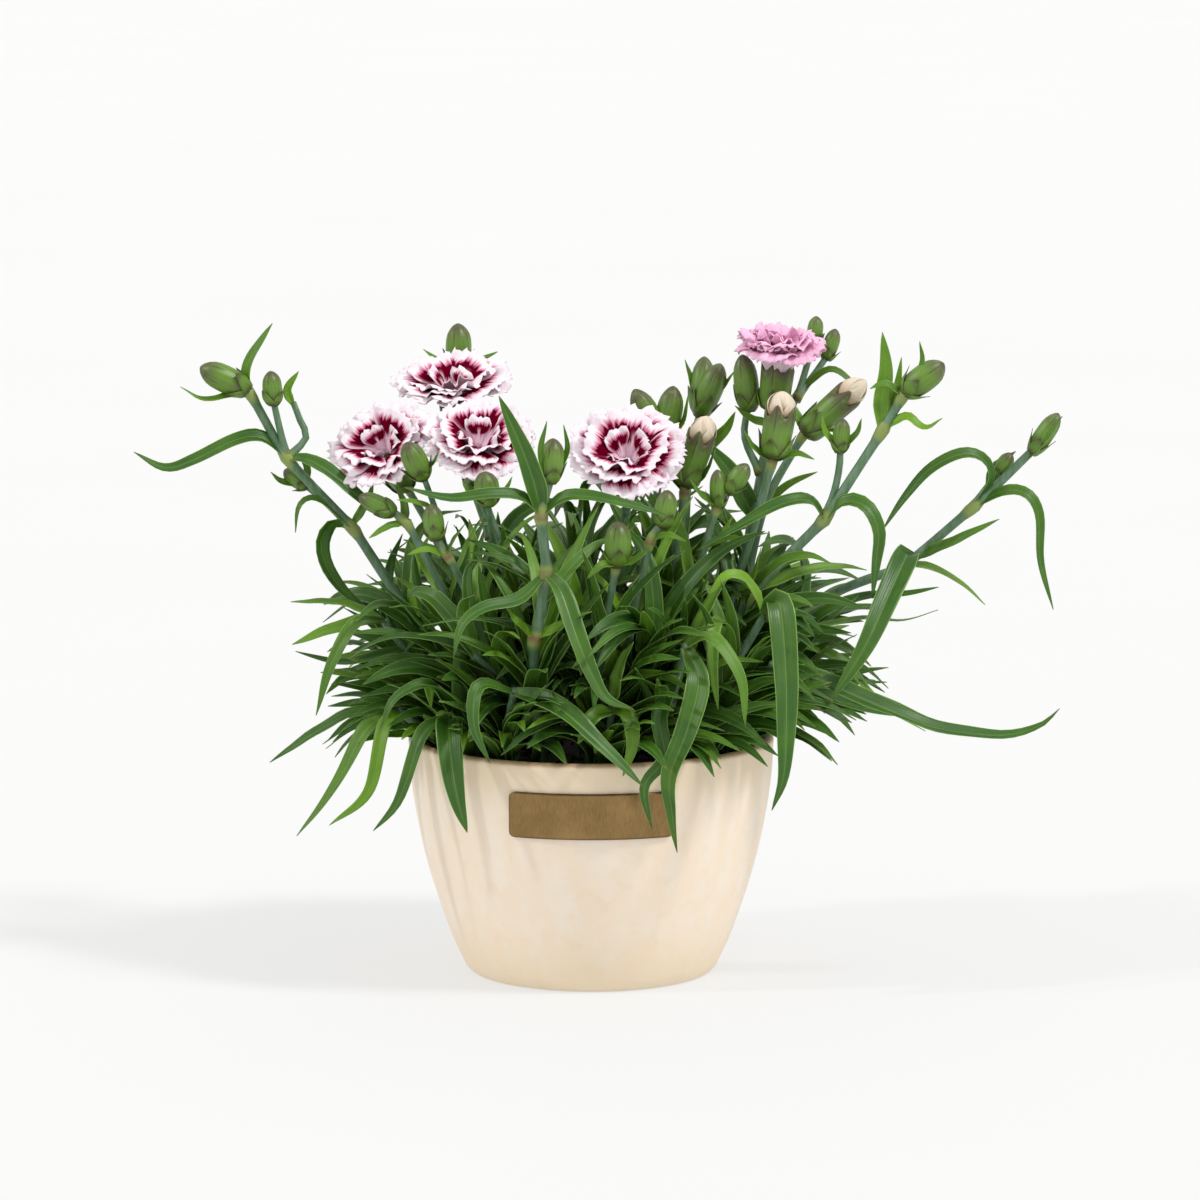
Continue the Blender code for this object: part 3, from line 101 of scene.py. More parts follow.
# The radius of a stem, its root on the soil and the line from there, its joints, the lines of its side
# branches, its buds as (radius, foot, tip) and its leaves as (width, show, points), where show turns the
# blade from its natural lie (0) to face the front (1).
STEMS = {
    "stem_arching_left": plant(2.3, [(-40, -8), (-46, -8, 98), (-60, -9, 125), (-81.8, -10, 159),
        (-92.5, -10, 175.4), (-117.4, -11, 202.8), (-131.5, -12, 228.2), (-134.5, -12, 231)],
        joints=[(-92.5, -10, 175.4), (-117.4, -11, 202.8), (-131.5, -12, 228.2)], side=[[(-117.4, -11, 202.8),
        (-120, -13, 214), (-122.5, -14, 226)], [(-117.4, -11, 202.8), (-110.3, -7, 210.2), (-112.6, -6, 217),
        (-115.2, -6, 224)], [(-93, -10, 176), (-103.1, -6, 185.1), (-111.8, -5, 192.4)]], buds=[(5.0,
        (-133.6, -12, 230), (-150.5, -14, 238.5)), (3.6, (-122.4, -14, 225), (-123.4, -14, 237)), (3.4,
        (-110.6, -5, 191.6), (-119, -5, 197.5))], leaves=[
        (4.5, 0.6, [(-131.5, -12, 229.4), (-132.8, -12, 237.1), (-129.3, -11, 245), (-122.7, -10, 255)]),
        (4.5, 0.3, [(-131.5, -12, 228), (-141, -14, 227), (-149.4, -15, 226), (-158, -16, 231)]),
        (6.5, 0.5, [(-117.4, -11, 203), (-126.9, -13, 210.9), (-137.2, -15, 210.3), (-152.6, -17, 203),
            (-164.1, -18, 200), (-176, -18, 206)]),
        (7.0, 0.5, [(-117, -11, 203), (-107.6, -15, 202), (-96.7, -18, 195), (-85.9, -20, 186),
            (-69, -22, 180)]),
        (7.0, 0.4, [(-92.5, -10, 175.4), (-99.4, -14, 178.5), (-104.5, -16, 169.6), (-99.9, -17, 156.9),
            (-91.9, -16, 148.1), (-82, -15, 139)]),
        (4.0, 0.5, [(-92.5, -10, 176), (-105.5, -13, 187.1), (-112.6, -15, 184.7), (-114.2, -15, 174.3)]),
        (4.0, 0.5, [(-92.5, -10, 176), (-86.4, -6, 185.9), (-84.4, -5, 193)]),
        (3.6, 0.5, [(-115.2, -6, 223), (-117.4, -6, 229), (-113, -6, 236)]),
        (3.6, 0.5, [(-111.3, -5, 192), (-119.4, -7, 193), (-124, -8, 197)]),
        (3.4, 0.5, [(-111.3, -5, 192), (-110, -4, 198), (-113, -4, 203)])]),
    "stem_white_bloom_back": plant(2.1, [(-26, 26), (-28, 27, 110), (-38, 28, 160), (-50, 32, 195)],
        side=[[(-40, 28.5, 166), (-48, 40, 190), (-52, 52, 214), (-52.5, 53, 233)]], buds=[(4.9,
        (-52.5, 53, 232), (-52.8, 53, 249))], leaves=[
        (3.4, 0.5, [(-52.3, 53, 231), (-60.3, 52, 234), (-66.5, 50, 239)]),
        (3.4, 0.5, [(-52.3, 53, 231), (-44.6, 52, 234), (-37, 50, 238)])]),
    "stem_white_bloom_left": plant(2.1, [(-30, 6), (-38, 6, 120), (-56, 5, 160), (-66, 5, 180)],
        side=[[(-54, 5, 157), (-57, -14, 170), (-59.6, -26, 184), (-64, -33, 198)]], buds=[(4.6,
        (-64.6, -33, 199), (-70.6, -39, 212))], leaves=[
        (3.4, 0.5, [(-59.6, -26, 184), (-66, -32, 188), (-74, -38, 190)]),
        (3.2, 0.5, [(-64.5, -33, 199), (-60, -36, 204), (-58, -38, 209)])]),
    "stem_white_bloom_middle": plant(2.1, [(-16, -14), (-20, -14, 120), (-30, -12, 155), (-40, -7, 182)],
        side=[[(-31, -12, 158), (-37, -30, 172), (-39, -43, 187), (-39.4, -45, 191)]], buds=[(4.6,
        (-39.2, -45, 190), (-40.4, -48, 202))], leaves=[
        (3.2, 0.5, [(-39, -45, 190), (-33, -47, 194), (-30, -48, 200)]),
        (3.2, 0.5, [(-39, -45, 190), (-46, -47, 193), (-49, -48, 199)])]),
    "stem_white_bloom_centre": plant(2.2, [(8, -8), (9, -8, 130), (12, -7, 165), (13.8, -5, 182)], leaves=[
        (4.5, 0.4, [(11, -7, 155), (2, -16, 170), (-6, -26, 176)])]),
    "stem_buds_centre_back": plant(2.0, [(20, 18), (22, 20, 140), (26, 23, 185), (28, 24, 207)],
        joints=[(27.8, 24, 206)], buds=[(4.9, (26.8, 24, 206), (16.8, 22, 226)), (5.0, (28.6, 24, 206),
        (32.4, 25, 227))], leaves=[
        (3.4, 0.5, [(27.8, 24, 206), (36, 22, 213), (38, 21, 224)]),
        (3.4, 0.5, [(27.8, 24, 206), (18, 22, 210), (13, 21, 218)])]),
    "stem_bud_white_tip_left": plant(2.0, [(24, -2), (28, -3, 130), (33, -5, 165), (36.6, -6, 192)],
        joints=[(36, -6, 189)], leaves=[
        (3.6, 0.5, [(36, -6, 189), (44, -9, 196), (48, -10, 206)]),
        (3.6, 0.5, [(36, -6, 189), (31, -4, 196), (29, -3, 203)])]),
    "stem_buds_right_back": plant(2.0, [(34, 30), (36, 32, 140), (39, 34, 200), (43.3, 34.5, 216)],
        joints=[(39, 34, 199)], buds=[(4.8, (43.4, 34, 216), (51, 33, 235)), (4.6, (43, 35.5, 217),
        (44.8, 41, 237))], leaves=[
        (3.6, 0.5, [(43, 34, 215), (52.3, 33, 226), (57, 32, 233)]),
        (3.6, 0.5, [(43, 34.5, 215), (39.5, 37, 228), (37, 38, 236)]),
        (6.0, 0.8, [(39, 34, 199), (46, 29, 203), (53, 25, 210), (56.5, 23, 217)])]),
    "stem_pink_bloom": plant(2.4, [(42, 10), (48, 11, 120), (60, 12, 160), (66.4, 12, 195), (70.4, 12, 215)],
        joints=[(64, 12, 176), (70, 12, 213)], side=[[(66.2, 12, 194), (60, 15, 208), (62, 18, 222)],
        [(68, 12, 203), (80, 21, 222), (87.6, 29, 245)], [(80, 21, 222), (88, 26, 232), (93, 29, 239)]],
        buds=[(4.6, (61.8, 18, 220), (59, 19, 240)), (3.0, (87.4, 29, 244), (88.4, 30, 254)), (3.0,
        (92.6, 29, 238), (96, 30, 249))], leaves=[
        (9.0, 0.8, [(64, 12, 176), (57, 9, 190), (52, 8, 198), (47, 7, 204), (44, 6.5, 208)]),
        (4.6, 0.6, [(64, 12, 176), (76, 4, 190), (88, 1, 196)]),
        (4.0, 0.6, [(70.2, 12, 213), (79, 9, 216), (86, 8, 215)]),
        (4.0, 0.6, [(70.2, 12, 213), (62, 9, 216), (56, 8, 221)]),
        (3.4, 0.6, [(82, 23, 225), (93, 20, 234), (101, 18, 230), (106, 17, 222)])]),
    "stem_bud_white_tip_middle": plant(2.1, [(40, -12), (46, -13, 120), (58, -14, 160), (66, -14, 187),
        (70.2, -14, 203)], joints=[(70, -14, 202)], leaves=[
        (4.2, 0.5, [(70, -14, 202), (79, -16, 205), (86, -17, 203)]),
        (4.2, 0.5, [(70, -14, 202), (63, -16, 207), (59, -17, 214)])]),
    "stem_bud_white_tip_right": plant(2.1, [(50, 2), (54, 1, 110), (60, 0, 150), (68, 0, 184), (77.2, 0, 202),
        (83.6, 0, 212)], joints=[(83, 0, 211)], leaves=[
        (3.8, 0.6, [(83, 0, 211), (90, -3, 214), (97, -4, 211)]),
        (3.8, 0.6, [(83, 0, 211), (79.5, 2, 219), (76, 4, 225)])]),
    "stem_arching_right": plant(2.4, [(46, -22), (50, -23, 115), (61.3, -24, 150.9), (89.7, -22, 180.5),
        (111.9, -20, 214.4), (119.8, -20, 227.9), (122.6, -20, 232)], joints=[(61.3, -24, 150.9),
        (89.7, -22, 180.5), (111.9, -20, 214.4), (120, -20, 228)], side=[[(90.1, -22, 181.3),
        (93.5, -19, 190), (95.6, -18, 200), (96, -18, 209)]], buds=[(5.1, (121.4, -20, 230),
        (135.5, -20, 240.5)), (3.2, (95.8, -18, 207), (96.8, -18, 219))], leaves=[
        (7.0, 0.8, [(111.9, -20, 214.4), (111.9, -17, 226), (113.4, -16, 238), (112, -15, 252)]),
        (4.0, 0.7, [(111.9, -20, 214.4), (117.5, -14, 229), (119.6, -12, 242)]),
        (4.0, 0.7, [(111.9, -20, 214.4), (114.6, -13, 229), (114.4, -10, 244)]),
        (5.0, 0.5, [(112.2, -20, 214.6), (120.9, -23, 220), (128, -25, 216), (134.5, -27, 220)]),
        (3.6, 0.5, [(120, -20, 228), (113, -22, 233), (107, -23, 231)]),
        (3.6, 0.5, [(120, -20, 228), (127, -21, 240), (126, -21, 249)]),
        (7.5, 0.4, [(89.7, -22, 180.5), (84, -28, 188.3), (74.3, -33, 188.1), (60.8, -36, 182),
            (49.3, -37, 175.5), (40, -37, 170)]),
        (7.0, 0.5, [(89.7, -22, 180.5), (97.6, -26, 187.6), (105.5, -29, 186.1), (110.1, -31, 177.4),
            (109.3, -32, 166), (108, -32, 151)]),
        (6.0, 0.5, [(61.3, -24, 150.9), (70, -30, 163), (82, -33, 168), (92, -35, 165)]),
        (3.2, 0.6, [(95.6, -18, 207), (90, -18, 214), (89, -18, 220)]),
        (3.2, 0.6, [(95.6, -18, 207), (102, -19, 213), (104, -19, 219)])]),
    "stem_far_right": plant(2.3, [(54, 14), (60, 11, 105), (75, 6, 132), (95.2, 2, 148.3), (121.8, -2, 159.9),
        (147, -5, 181.8), (166.6, -5, 199.4), (172.4, -5, 206.4)], joints=[(121.8, -2, 159.9),
        (148, -5, 182.8)], side=[[(148, -5, 182.8), (154.2, -1, 190.7), (159, 0, 196)]], buds=[(3.6,
        (171.6, -5, 205.4), (181, -5, 219.5)), (3.0, (158, 0, 194.8), (163, -1, 203.6))], leaves=[
        (5.5, 0.5, [(148, -5, 182.8), (154.5, -8, 194), (151.9, -10, 202), (143.3, -12, 204.5),
            (130.8, -15, 199), (120.7, -17, 188), (112, -18, 175)]),
        (5.5, 0.6, [(148, -5, 182.8), (159.5, -9, 189.5), (168.1, -12, 189), (172.8, -13, 181),
            (173.7, -14, 163.5), (179, -14, 144)]),
        (4.0, 0.6, [(154, -1, 190.7), (157.3, 1, 198), (165, 1, 204)]),
        (5.0, 0.6, [(124, -2.3, 161.8), (140, -10, 170), (150.6, -11, 175.4), (158, -11, 179)]),
        (3.6, 0.6, [(168, -5, 201), (176.4, -9, 211), (182, -10, 219)]),
        (10.5, 0.8, [(121.8, -2, 159.9), (122.2, -14, 165.5), (114.9, -30, 153.3), (106, -42, 136.4),
            (97.5, -46, 122.7), (91, -47, 113)]),
        (5.5, 0.3, [(121.8, -2, 159.9), (132, 2, 158), (144, 5, 152), (154, 6, 143)])]),
    "stem_front": plant(2.5, [(-20, -44), (-21, -50, 105), (-22, -58, 129.3), (-21.2, -61, 140.1),
        (-17, -65, 165.2), (-18.8, -68, 188), (-15.8, -67, 199.3), (-15.2, -67, 203)],
        joints=[(-21.2, -61, 140.1), (-17, -65, 165.2), (-18.8, -68, 188)], buds=[(4.4, (-15.4, -67, 201.6),
        (-14.2, -67, 217))], leaves=[
        (3.2, 0.6, [(-15.8, -67, 200), (-19, -71, 212), (-16.6, -72, 224)]),
        (3.2, 0.6, [(-15.8, -67, 200), (-9, -66, 211.7), (-10.3, -66, 222)]),
        (8.5, 0.8, [(-18.8, -68, 188), (-21.8, -72, 201.8), (-27.4, -75, 217.3), (-34.5, -76, 234)]),
        (6.0, 0.5, [(-18.8, -68, 188), (-25.8, -73, 195.5), (-38, -78, 197), (-52.8, -80, 196),
            (-70, -80, 200)]),
        (6.0, 0.5, [(-18.8, -68, 188), (-11, -72, 194.8), (-2.3, -75, 196), (10.9, -77, 194),
            (29, -77, 189)]),
        (8.0, 0.6, [(-17, -65, 165.2), (-11.3, -73, 159.5), (-5.6, -80, 144), (0, -84, 130.5), (6, -86, 121),
            (16, -87, 117)]),
        (6.0, 0.5, [(-17, -65, 165.2), (-26.8, -71, 156.5), (-40.2, -77, 154), (-48.6, -80, 148),
            (-51.6, -82, 136)]),
        (5.0, 0.5, [(-21.2, -61, 140.1), (-28, -66, 147), (-32, -68, 153)]),
        (5.0, 0.5, [(-21.2, -61, 140.1), (-11.7, -66, 145.5), (-5, -68, 150)])]),
    "stem_bud_front": plant(1.9, [(2, -36), (3, -42, 115), (5.3, -50, 145.4), (10.2, -52, 168.5)],
        joints=[(10, -52, 166.6)], buds=[(4.9, (10, -52, 167.6), (10.3, -52, 183.5))], leaves=[
        (3.8, 0.5, [(10, -52, 166.6), (4, -57, 167.4), (-1.6, -59, 162.5)]),
        (3.8, 0.5, [(10, -52, 166.6), (17.1, -56, 169.6), (23, -58, 175)])]),
    "stem_bud_front_right": plant(1.9, [(14, -29), (14, -36, 120), (16, -42, 147.3), (22.9, -44, 175.3),
        (27.8, -44, 182)], joints=[(22.9, -44, 175)], buds=[(4.0, (27.6, -44, 181.4), (29.2, -44, 194.5))],
        leaves=[
        (3.6, 0.5, [(22.9, -44, 175), (29, -50, 178), (36, -53, 176)])]),
    "stem_buds_right_front": plant(1.9, [(30, -22), (34, -24, 125), (41.9, -26, 164.4), (49, -28, 187),
        (53.7, -28, 193)], joints=[(48.6, -28, 186)], buds=[(3.6, (53.2, -28, 192.4), (60, -28, 202.6)), (3.2,
        (49, -28, 187), (48.4, -28, 200.4))], leaves=[
        (3.4, 0.5, [(48.6, -28, 186), (42, -31, 191), (38, -32, 197)])]),
    "stem_bud_left_front": plant(1.9, [(-36, -30), (-38, -34, 120), (-46.3, -40, 155.5), (-55.4, -42, 168.9),
        (-59.3, -43, 177)], joints=[(-55.4, -42, 168.9)], buds=[(3.8, (-59.2, -43, 176.4),
        (-61.2, -43, 189))], leaves=[
        (3.6, 0.5, [(-55.4, -42, 168.9), (-63, -46, 172), (-70, -47, 170)]),
        (3.6, 0.5, [(-55.4, -42, 168.9), (-52, -46, 176), (-48, -48, 182)])]),
    "stem_bud_left": plant(1.9, [(-46, -21), (-50, -25, 130), (-61.8, -30, 165), (-71.3, -30, 180),
        (-77.4, -30, 185.3)], joints=[(-71.3, -30, 180)], buds=[(3.6, (-76.6, -30, 184.6),
        (-89, -30, 190.4))], leaves=[
        (3.6, 0.5, [(-71.3, -30, 180), (-72, -24, 187), (-75, -21, 193)]),
        (3.6, 0.5, [(-71.3, -30, 180), (-78, -34, 179), (-85, -36, 175)])]),
    "shoot_strap_right": plant(2.1, [(38, -40), (47, -43, 110), (58, -46, 134), (66, -48, 147)], leaves=[
        (10.5, 0.8, [(66, -48, 146), (71.2, -62, 153.7), (73.5, -74, 127), (73.3, -81, 105),
            (72.2, -84, 89.7), (68, -85, 78)]),
        (6.0, 0.5, [(66, -48, 146), (60, -54, 160), (52, -58, 164), (44, -60, 156)]),
        (6.0, 0.5, [(58, -46, 134), (48, -56, 146), (46, -66, 132), (48, -70, 114)])]),
    "shoot_low_right": plant(2.2, [(52, -14), (58, -20, 100), (64, -27, 116), (70, -33, 126)], leaves=[
        (9.0, 0.5, [(70, -33, 125), (81, -38, 123), (95.5, -40, 117), (114.6, -42, 109), (133.8, -42, 102),
            (157, -40, 99), (172.5, -38, 102.5), (180, -37, 109)]),
        (8.0, 0.4, [(68, -31, 122), (84, -27, 114), (100, -27, 109), (124, -28, 104)]),
        (6.0, 0.3, [(70, -33, 125), (84, -26, 137), (104, -24, 142), (120, -22, 141), (134, -21, 145)])]),
    "shoot_right": plant(2.0, [(58, -2), (66, -5, 105), (78, -8, 130)], leaves=[
        (6.0, 0.3, [(78, -8, 129), (90, -9, 142), (106, -8, 148), (122, -8, 149.5), (135, -8, 152)]),
        (6.5, 0.4, [(78, -8, 129), (90.9, -12, 127), (101.4, -13, 119), (113.2, -13, 106), (130, -12, 96)])]),
    "shoot_hanging_front": plant(2.1, [(26, -44), (30, -53, 110), (34, -62, 132), (36, -65, 138)], leaves=[
        (9.5, 0.7, [(35.9, -65, 137), (40.5, -76, 126), (36, -82, 108), (29.6, -82, 90.3), (30.5, -81, 75.8),
            (32.5, -80, 61)]),
        (6.5, 0.6, [(33, -60, 127), (26, -72, 112), (27.6, -77, 97), (20, -79, 86), (23, -80, 70)]),
        (6.0, 0.5, [(35.9, -65, 137), (46, -74, 142), (56, -80, 128), (58, -83, 110)])]),
    "shoot_front_left": plant(2.0, [(-32, -44), (-32, -55, 104), (-29, -66, 121)], leaves=[
        (8.5, 0.6, [(-29, -66, 120), (-13, -80, 117), (3, -87, 104), (19.5, -89, 88)]),
        (6.0, 0.5, [(-29, -66, 120), (-42, -76, 124), (-44, -82, 110), (-38, -84, 96)])]),
    "shoot_front": plant(1.9, [(5, -50), (6, -54, 100), (8, -64, 113)], leaves=[
        (7.0, 0.5, [(8, -63.5, 112.5), (1, -73, 112), (-5, -77, 102)]),
        (6.5, 0.5, [(8, -63.5, 112.5), (14, -73, 112), (15.5, -77, 102), (12, -78.5, 90)]),
        (6.5, 0.4, [(6.6, -57, 104), (-6, -66, 111), (-22, -74, 107), (-34, -78, 98)]),
        (6.0, 0.6, [(8, -63.5, 112.5), (11, -66, 130), (16, -70, 140)])]),
    "shoot_strap_left": plant(2.0, [(-46, -34), (-50, -43, 100), (-54, -50, 110)], leaves=[
        (10.5, 0.8, [(-53.7, -49.5, 108), (-54, -64, 105), (-52.6, -71, 92), (-50.4, -72, 79),
            (-47, -71, 67)]),
        (6.5, 0.5, [(-53.7, -49.5, 109), (-64, -60, 103), (-70, -64, 86), (-75, -64, 75), (-83, -62, 66)]),
        (6.0, 0.5, [(-53.7, -49.5, 109), (-62, -60, 122), (-74, -66, 118), (-80, -68, 106)])]),
    "shoot_low_left": plant(2.0, [(-50, -20), (-54, -22, 97), (-62, -27, 106), (-74, -33, 108)], leaves=[
        (6.5, 0.4, [(-73, -33, 107), (-92, -31, 106), (-107.5, -31, 98), (-124, -31, 87)]),
        (7.0, 0.5, [(-74, -33, 107), (-86, -42, 102), (-98.2, -46, 80), (-113, -46, 61)]),
        (6.0, 0.5, [(-73, -33, 107), (-79, -48, 104), (-85, -55, 80), (-100, -56, 67)])]),
    "shoot_left": plant(2.1, [(-50, -10), (-58, -16, 105), (-70, -20, 130), (-80, -22, 141)], leaves=[
        (6.0, 0.3, [(-80, -22, 141), (-94.9, -20, 147), (-104.5, -20, 148), (-116, -20, 148)]),
        (7.0, 0.4, [(-80, -22, 141), (-90, -28, 141), (-102, -30, 138), (-115, -31, 133)]),
        (6.0, 0.4, [(-70, -20, 130), (-85.2, -26, 127), (-98.6, -27, 125.5), (-114, -26, 129.6)]),
        (6.0, 0.5, [(-80, -22, 141), (-90, -36, 142), (-99, -41, 128), (-105.5, -41, 107)])]),
}
# Open blooms: middle of the flower, the way it faces, its radius, and how far its petals stand up.
BLOOMS = {
    "bloom_white_back": ("stem_white_bloom_back", (-54.5, 27, 226), (-0.05, -0.32, 0.95), 21.5, 0.0),
    "bloom_white_left": ("stem_white_bloom_left", (-80.5, -8, 206), (-0.35, -0.62, 0.7), 19.5, 0.0),
    "bloom_white_middle": ("stem_white_bloom_middle", (-43, -21, 210), (0.06, -0.55, 0.83), 20.5, 0.0),
    "bloom_white_centre": ("stem_white_bloom_centre", (13.8, -22, 205), (0.0, -0.66, 0.75), 22.5, 0.0),
    "bloom_pink": ("stem_pink_bloom", (73.5, 12, 242), (0.1, -0.12, 1.0), 17.0, 34.0),
}
# Closed flowers that show a white tip: stem, foot of the calyx, end of the tip, radius.
TIPS = {
    "bud_tip_left": ("stem_bud_white_tip_left", (36.6, -6, 192), (45.2, -6, 218.5), 5.6),
    "bud_tip_middle": ("stem_bud_white_tip_middle", (70.4, -14, 204), (74.2, -14, 229), 6.0),
    "bud_tip_right": ("stem_bud_white_tip_right", (83.2, 0, 211.4), (106.2, 0, 231.8), 5.6),
}


def unit(v):
    v = np.asarray(v, float)
    return v / np.maximum(np.linalg.norm(v, axis=-1, keepdims=True), 1e-9)


def spline(points, count):
    """A smooth line through the points, as this many stations evenly along it."""
    p = np.array(points, float)
    ends = np.vstack([2 * p[0] - p[1], p, 2 * p[-1] - p[-2]])
    t = np.linspace(0, 1, 10, endpoint=False)[:, None]
    fine = [
        b + 0.5 * ((c - a) * t + (2 * a - 5 * b + 4 * c - d) * t**2 + (3 * b - a - 3 * c + d) * t**3)
        for a, b, c, d in zip(ends, ends[1:], ends[2:], ends[3:])
    ]
    return even(np.vstack(fine + [p[-1:]]), count)


def even(line, count):
    """This many stations evenly along a line of straight runs."""
    run = np.concatenate([[0], np.cumsum(np.linalg.norm(np.diff(line, axis=0), axis=1))])
    at = np.linspace(0, run[-1], count)
    return np.stack([np.interp(at, run, line[:, k]) for k in range(3)], axis=1)


def length_of(points):
    return float(np.linalg.norm(np.diff(np.array(points, float), axis=0), axis=1).sum())


def leaf_frame(points, width, show, stations):
    """The line of a leaf with, at each station, its half width and the ways across and up."""
    line = spline(points, stations)
    ahead = unit(np.gradient(line, axis=0))
    run = (line[-1] - line[0]) * (1, 1, 0)
    run = run if np.linalg.norm(run) > 4 else np.array((0.0, 1.0, 0.0))
    level = unit(np.cross((0, 0, 1), run))
    ups = unit((1 - show) * np.cross(ahead, level) + show * TOWARDS_FRONT)
    ups = unit(ups - (ups * ahead).sum(1, keepdims=True) * ahead)
    t = np.linspace(0, 1, stations)
    half = width / 2 * np.minimum(1.0, 0.44 + 2.4 * t) * (1 - t**2.6) ** 0.8
    return line, half[:, None], np.cross(ups, ahead), ups


def leaf_cloud(points, width, show):
    """Points about a millimetre apart over a leaf."""
    line, half, sides, ups = leaf_frame(points, width, show, int(length_of(points) / 1.0) + 2)
    across = np.linspace(-1, 1, 2 * int(width / 2.2) + 3)
    return np.vstack([line + half * (s * sides + NARROW_FOLD * abs(s) * ups) for s in across])


def across_axes(ahead):
    first = unit(np.cross(ahead, (0, 1, 0.2) if abs(ahead[1]) < 0.8 else (1, 0, 0)))
    return first, np.cross(ahead, first)


def stem_line(points, joints, step=28.0):
    """Stations along a stem: where it leaves the soil, three about every swollen joint, and some between."""
    fine = spline(points, int(length_of(points) / 0.8) + 2)
    run = np.concatenate([[0], np.cumsum(np.linalg.norm(np.diff(fine, axis=0), axis=1))])
    at = {0.0, run[-1], run[np.argmin(np.linalg.norm(fine - np.array(points[2], float), axis=1))]}
    for joint in joints:
        near = run[np.argmin(np.linalg.norm(fine - np.array(joint, float), axis=1))]
        at |= {max(0.0, near - 4.0), near, min(run[-1], near + 4.0)}
    at = sorted(at)
    kept = [at[0]]
    for a in at[1:]:
        if a - kept[-1] > 2.5:
            kept += list(np.linspace(kept[-1], a, max(1, round((a - kept[-1]) / step)) + 1)[1:])
    kept[-1] = run[-1]
    return np.stack([np.interp(kept, run, fine[:, k]) for k in range(3)], axis=1)


def tube_cloud(points, thick):
    """Points about a millimetre apart over a stem."""
    line = spline(points, int(length_of(points)) + 2)
    ahead = unit(np.gradient(line, axis=0))
    first = unit(np.cross(ahead, (0.3, 1, 0.2)))
    second = np.cross(ahead, first)
    turns = np.arange(12) * math.pi / 6
    return np.vstack([line] + [line + thick * (math.cos(a) * first + math.sin(a) * second) for a in turns])


class Room:
    """Which cell of the air round the plant belongs to which piece, so that no leaf goes through another."""

    CELL = 1.2
    LOW = np.array((-200.0, -130.0, -4.0))
    SHAPE = (334, 217, 225)

    def __init__(self):
        self.owner = np.zeros(self.SHAPE, np.int16)
        self.core = np.zeros(self.SHAPE, np.int16)

    def cells(self, cloud):
        found = np.floor((cloud - self.LOW) / self.CELL).astype(int)
        return np.clip(found, 1, np.array(self.SHAPE) - 2)

    def taken(self, cloud, own):
        c = self.cells(cloud)
        held = self.owner[c[:, 0], c[:, 1], c[:, 2]]
        return int(((held != 0) & (held != own)).sum()), int((held == own).sum())

    def touched(self, cloud, own):
        c = self.cells(cloud)
        held = self.core[c[:, 0], c[:, 1], c[:, 2]]
        return int(((held != 0) & (held != own)).sum())

    def fill(self, cloud, own):
        c = self.cells(cloud)
        self.core[c[:, 0], c[:, 1], c[:, 2]] = own
        for dx in (-1, 0, 1):
            for dy in (-1, 0, 1):
                for dz in (-1, 0, 1):
                    x, y, z = c[:, 0] + dx, c[:, 1] + dy, c[:, 2] + dz
                    held = self.owner[x, y, z]
                    self.owner[x, y, z] = np.where(held == 0, own, held)


def pot_radius(z):
    radii, heights = zip(*POT_OUTER)
    return float(np.interp(z, heights, radii))


def inner_radius(z):
    """The pot's inner wall, straight between its rings."""
    rings = [POT_FLOOR + 2.0, *POT_INSIDE]
    return float(np.interp(z, rings, [49.0] + [pot_radius(h) - POT_WALL for h in POT_INSIDE]))


def soil_height(x, y):
    return SOIL_TOP + SOIL_DOME * (1 - (x * x + y * y) / SOIL_RADIUS**2)


def full_line(line):
    """The stem's line, begun at the foot of its hole in the soil."""
    x, y = line[0]
    ground = soil_height(x, y)
    return [(x, y, ground - HOLE_DEPTH + GAP), (x, y, ground - 4), (x, y, ground + 3)] + list(line[1:])


def petal_rows(bloom, angle, long, wide, lift, phase, teeth):
    """Rows of points from the claw to the fringed edge of one petal, and the upward way of each row."""
    _, centre, axis, _, _ = bloom
    axis = unit(axis)
    first, second = across_axes(axis)
    out = math.cos(angle) * first + math.sin(angle) * second
    across = np.cross(axis, out)
    steps = [(-1.0, 0.14, 2), (0.52, 0.88, 4), (1.0, 1.0, 2 * teeth + 1)]
    rows, ups = [], []
    for u, broad, count in steps:
        tilt = math.radians(lift + 26 * (1 - max(u, 0)) - 16 * max(u, 0) ** 2)
        up = math.cos(tilt) * axis - math.sin(tilt) * out
        row = []
        for k, v in enumerate(np.linspace(-1, 1, count)):
            reach = u
            if count > 4:
                reach = 1.0 - 0.2 * v * v + (0.055 if k % 2 else -0.065)
            if u < 0:
                rho, high = 1.2, -3.6
            else:
                rho = 2.6 + long * reach * math.cos(tilt)
                high = -1.5 + long * reach * math.sin(tilt)
            wave = 0.07 * long * max(u, 0) ** 1.5 * math.sin(2 * math.pi * v) * phase + LAP * v
            row.append(np.array(centre) + rho * out + high * axis + v * broad * wide / 2 * across
                       + wave * up)
        rows.append(row)
        ups.append(up)
    return rows, ups


def petals_of(bloom, rng):
    """Rows of every petal of a bloom, outermost ring first."""
    _, _, _, radius, raised = bloom
    rings = [(5, 0.9, 0.98, 6, 4), (4, 0.72, 0.82, 36 + raised / 3, 3)]
    made, turn = [], rng.uniform(0, 6)
    for count, long, wide, lift, teeth in rings:
        for k in range(count):
            angle = turn + 2 * math.pi * (k + rng.uniform(-0.08, 0.08)) / count
            size = radius * long * rng.uniform(0.94, 1.0)
            slope = min(lift + raised * (1 - lift / 80) + rng.uniform(-2, 2), 84)
            made.append(petal_rows(bloom, angle, size, radius * wide * (1 - raised / 300), slope,
                                   rng.uniform(-1, 1), teeth))
        turn += math.pi / count
    return made


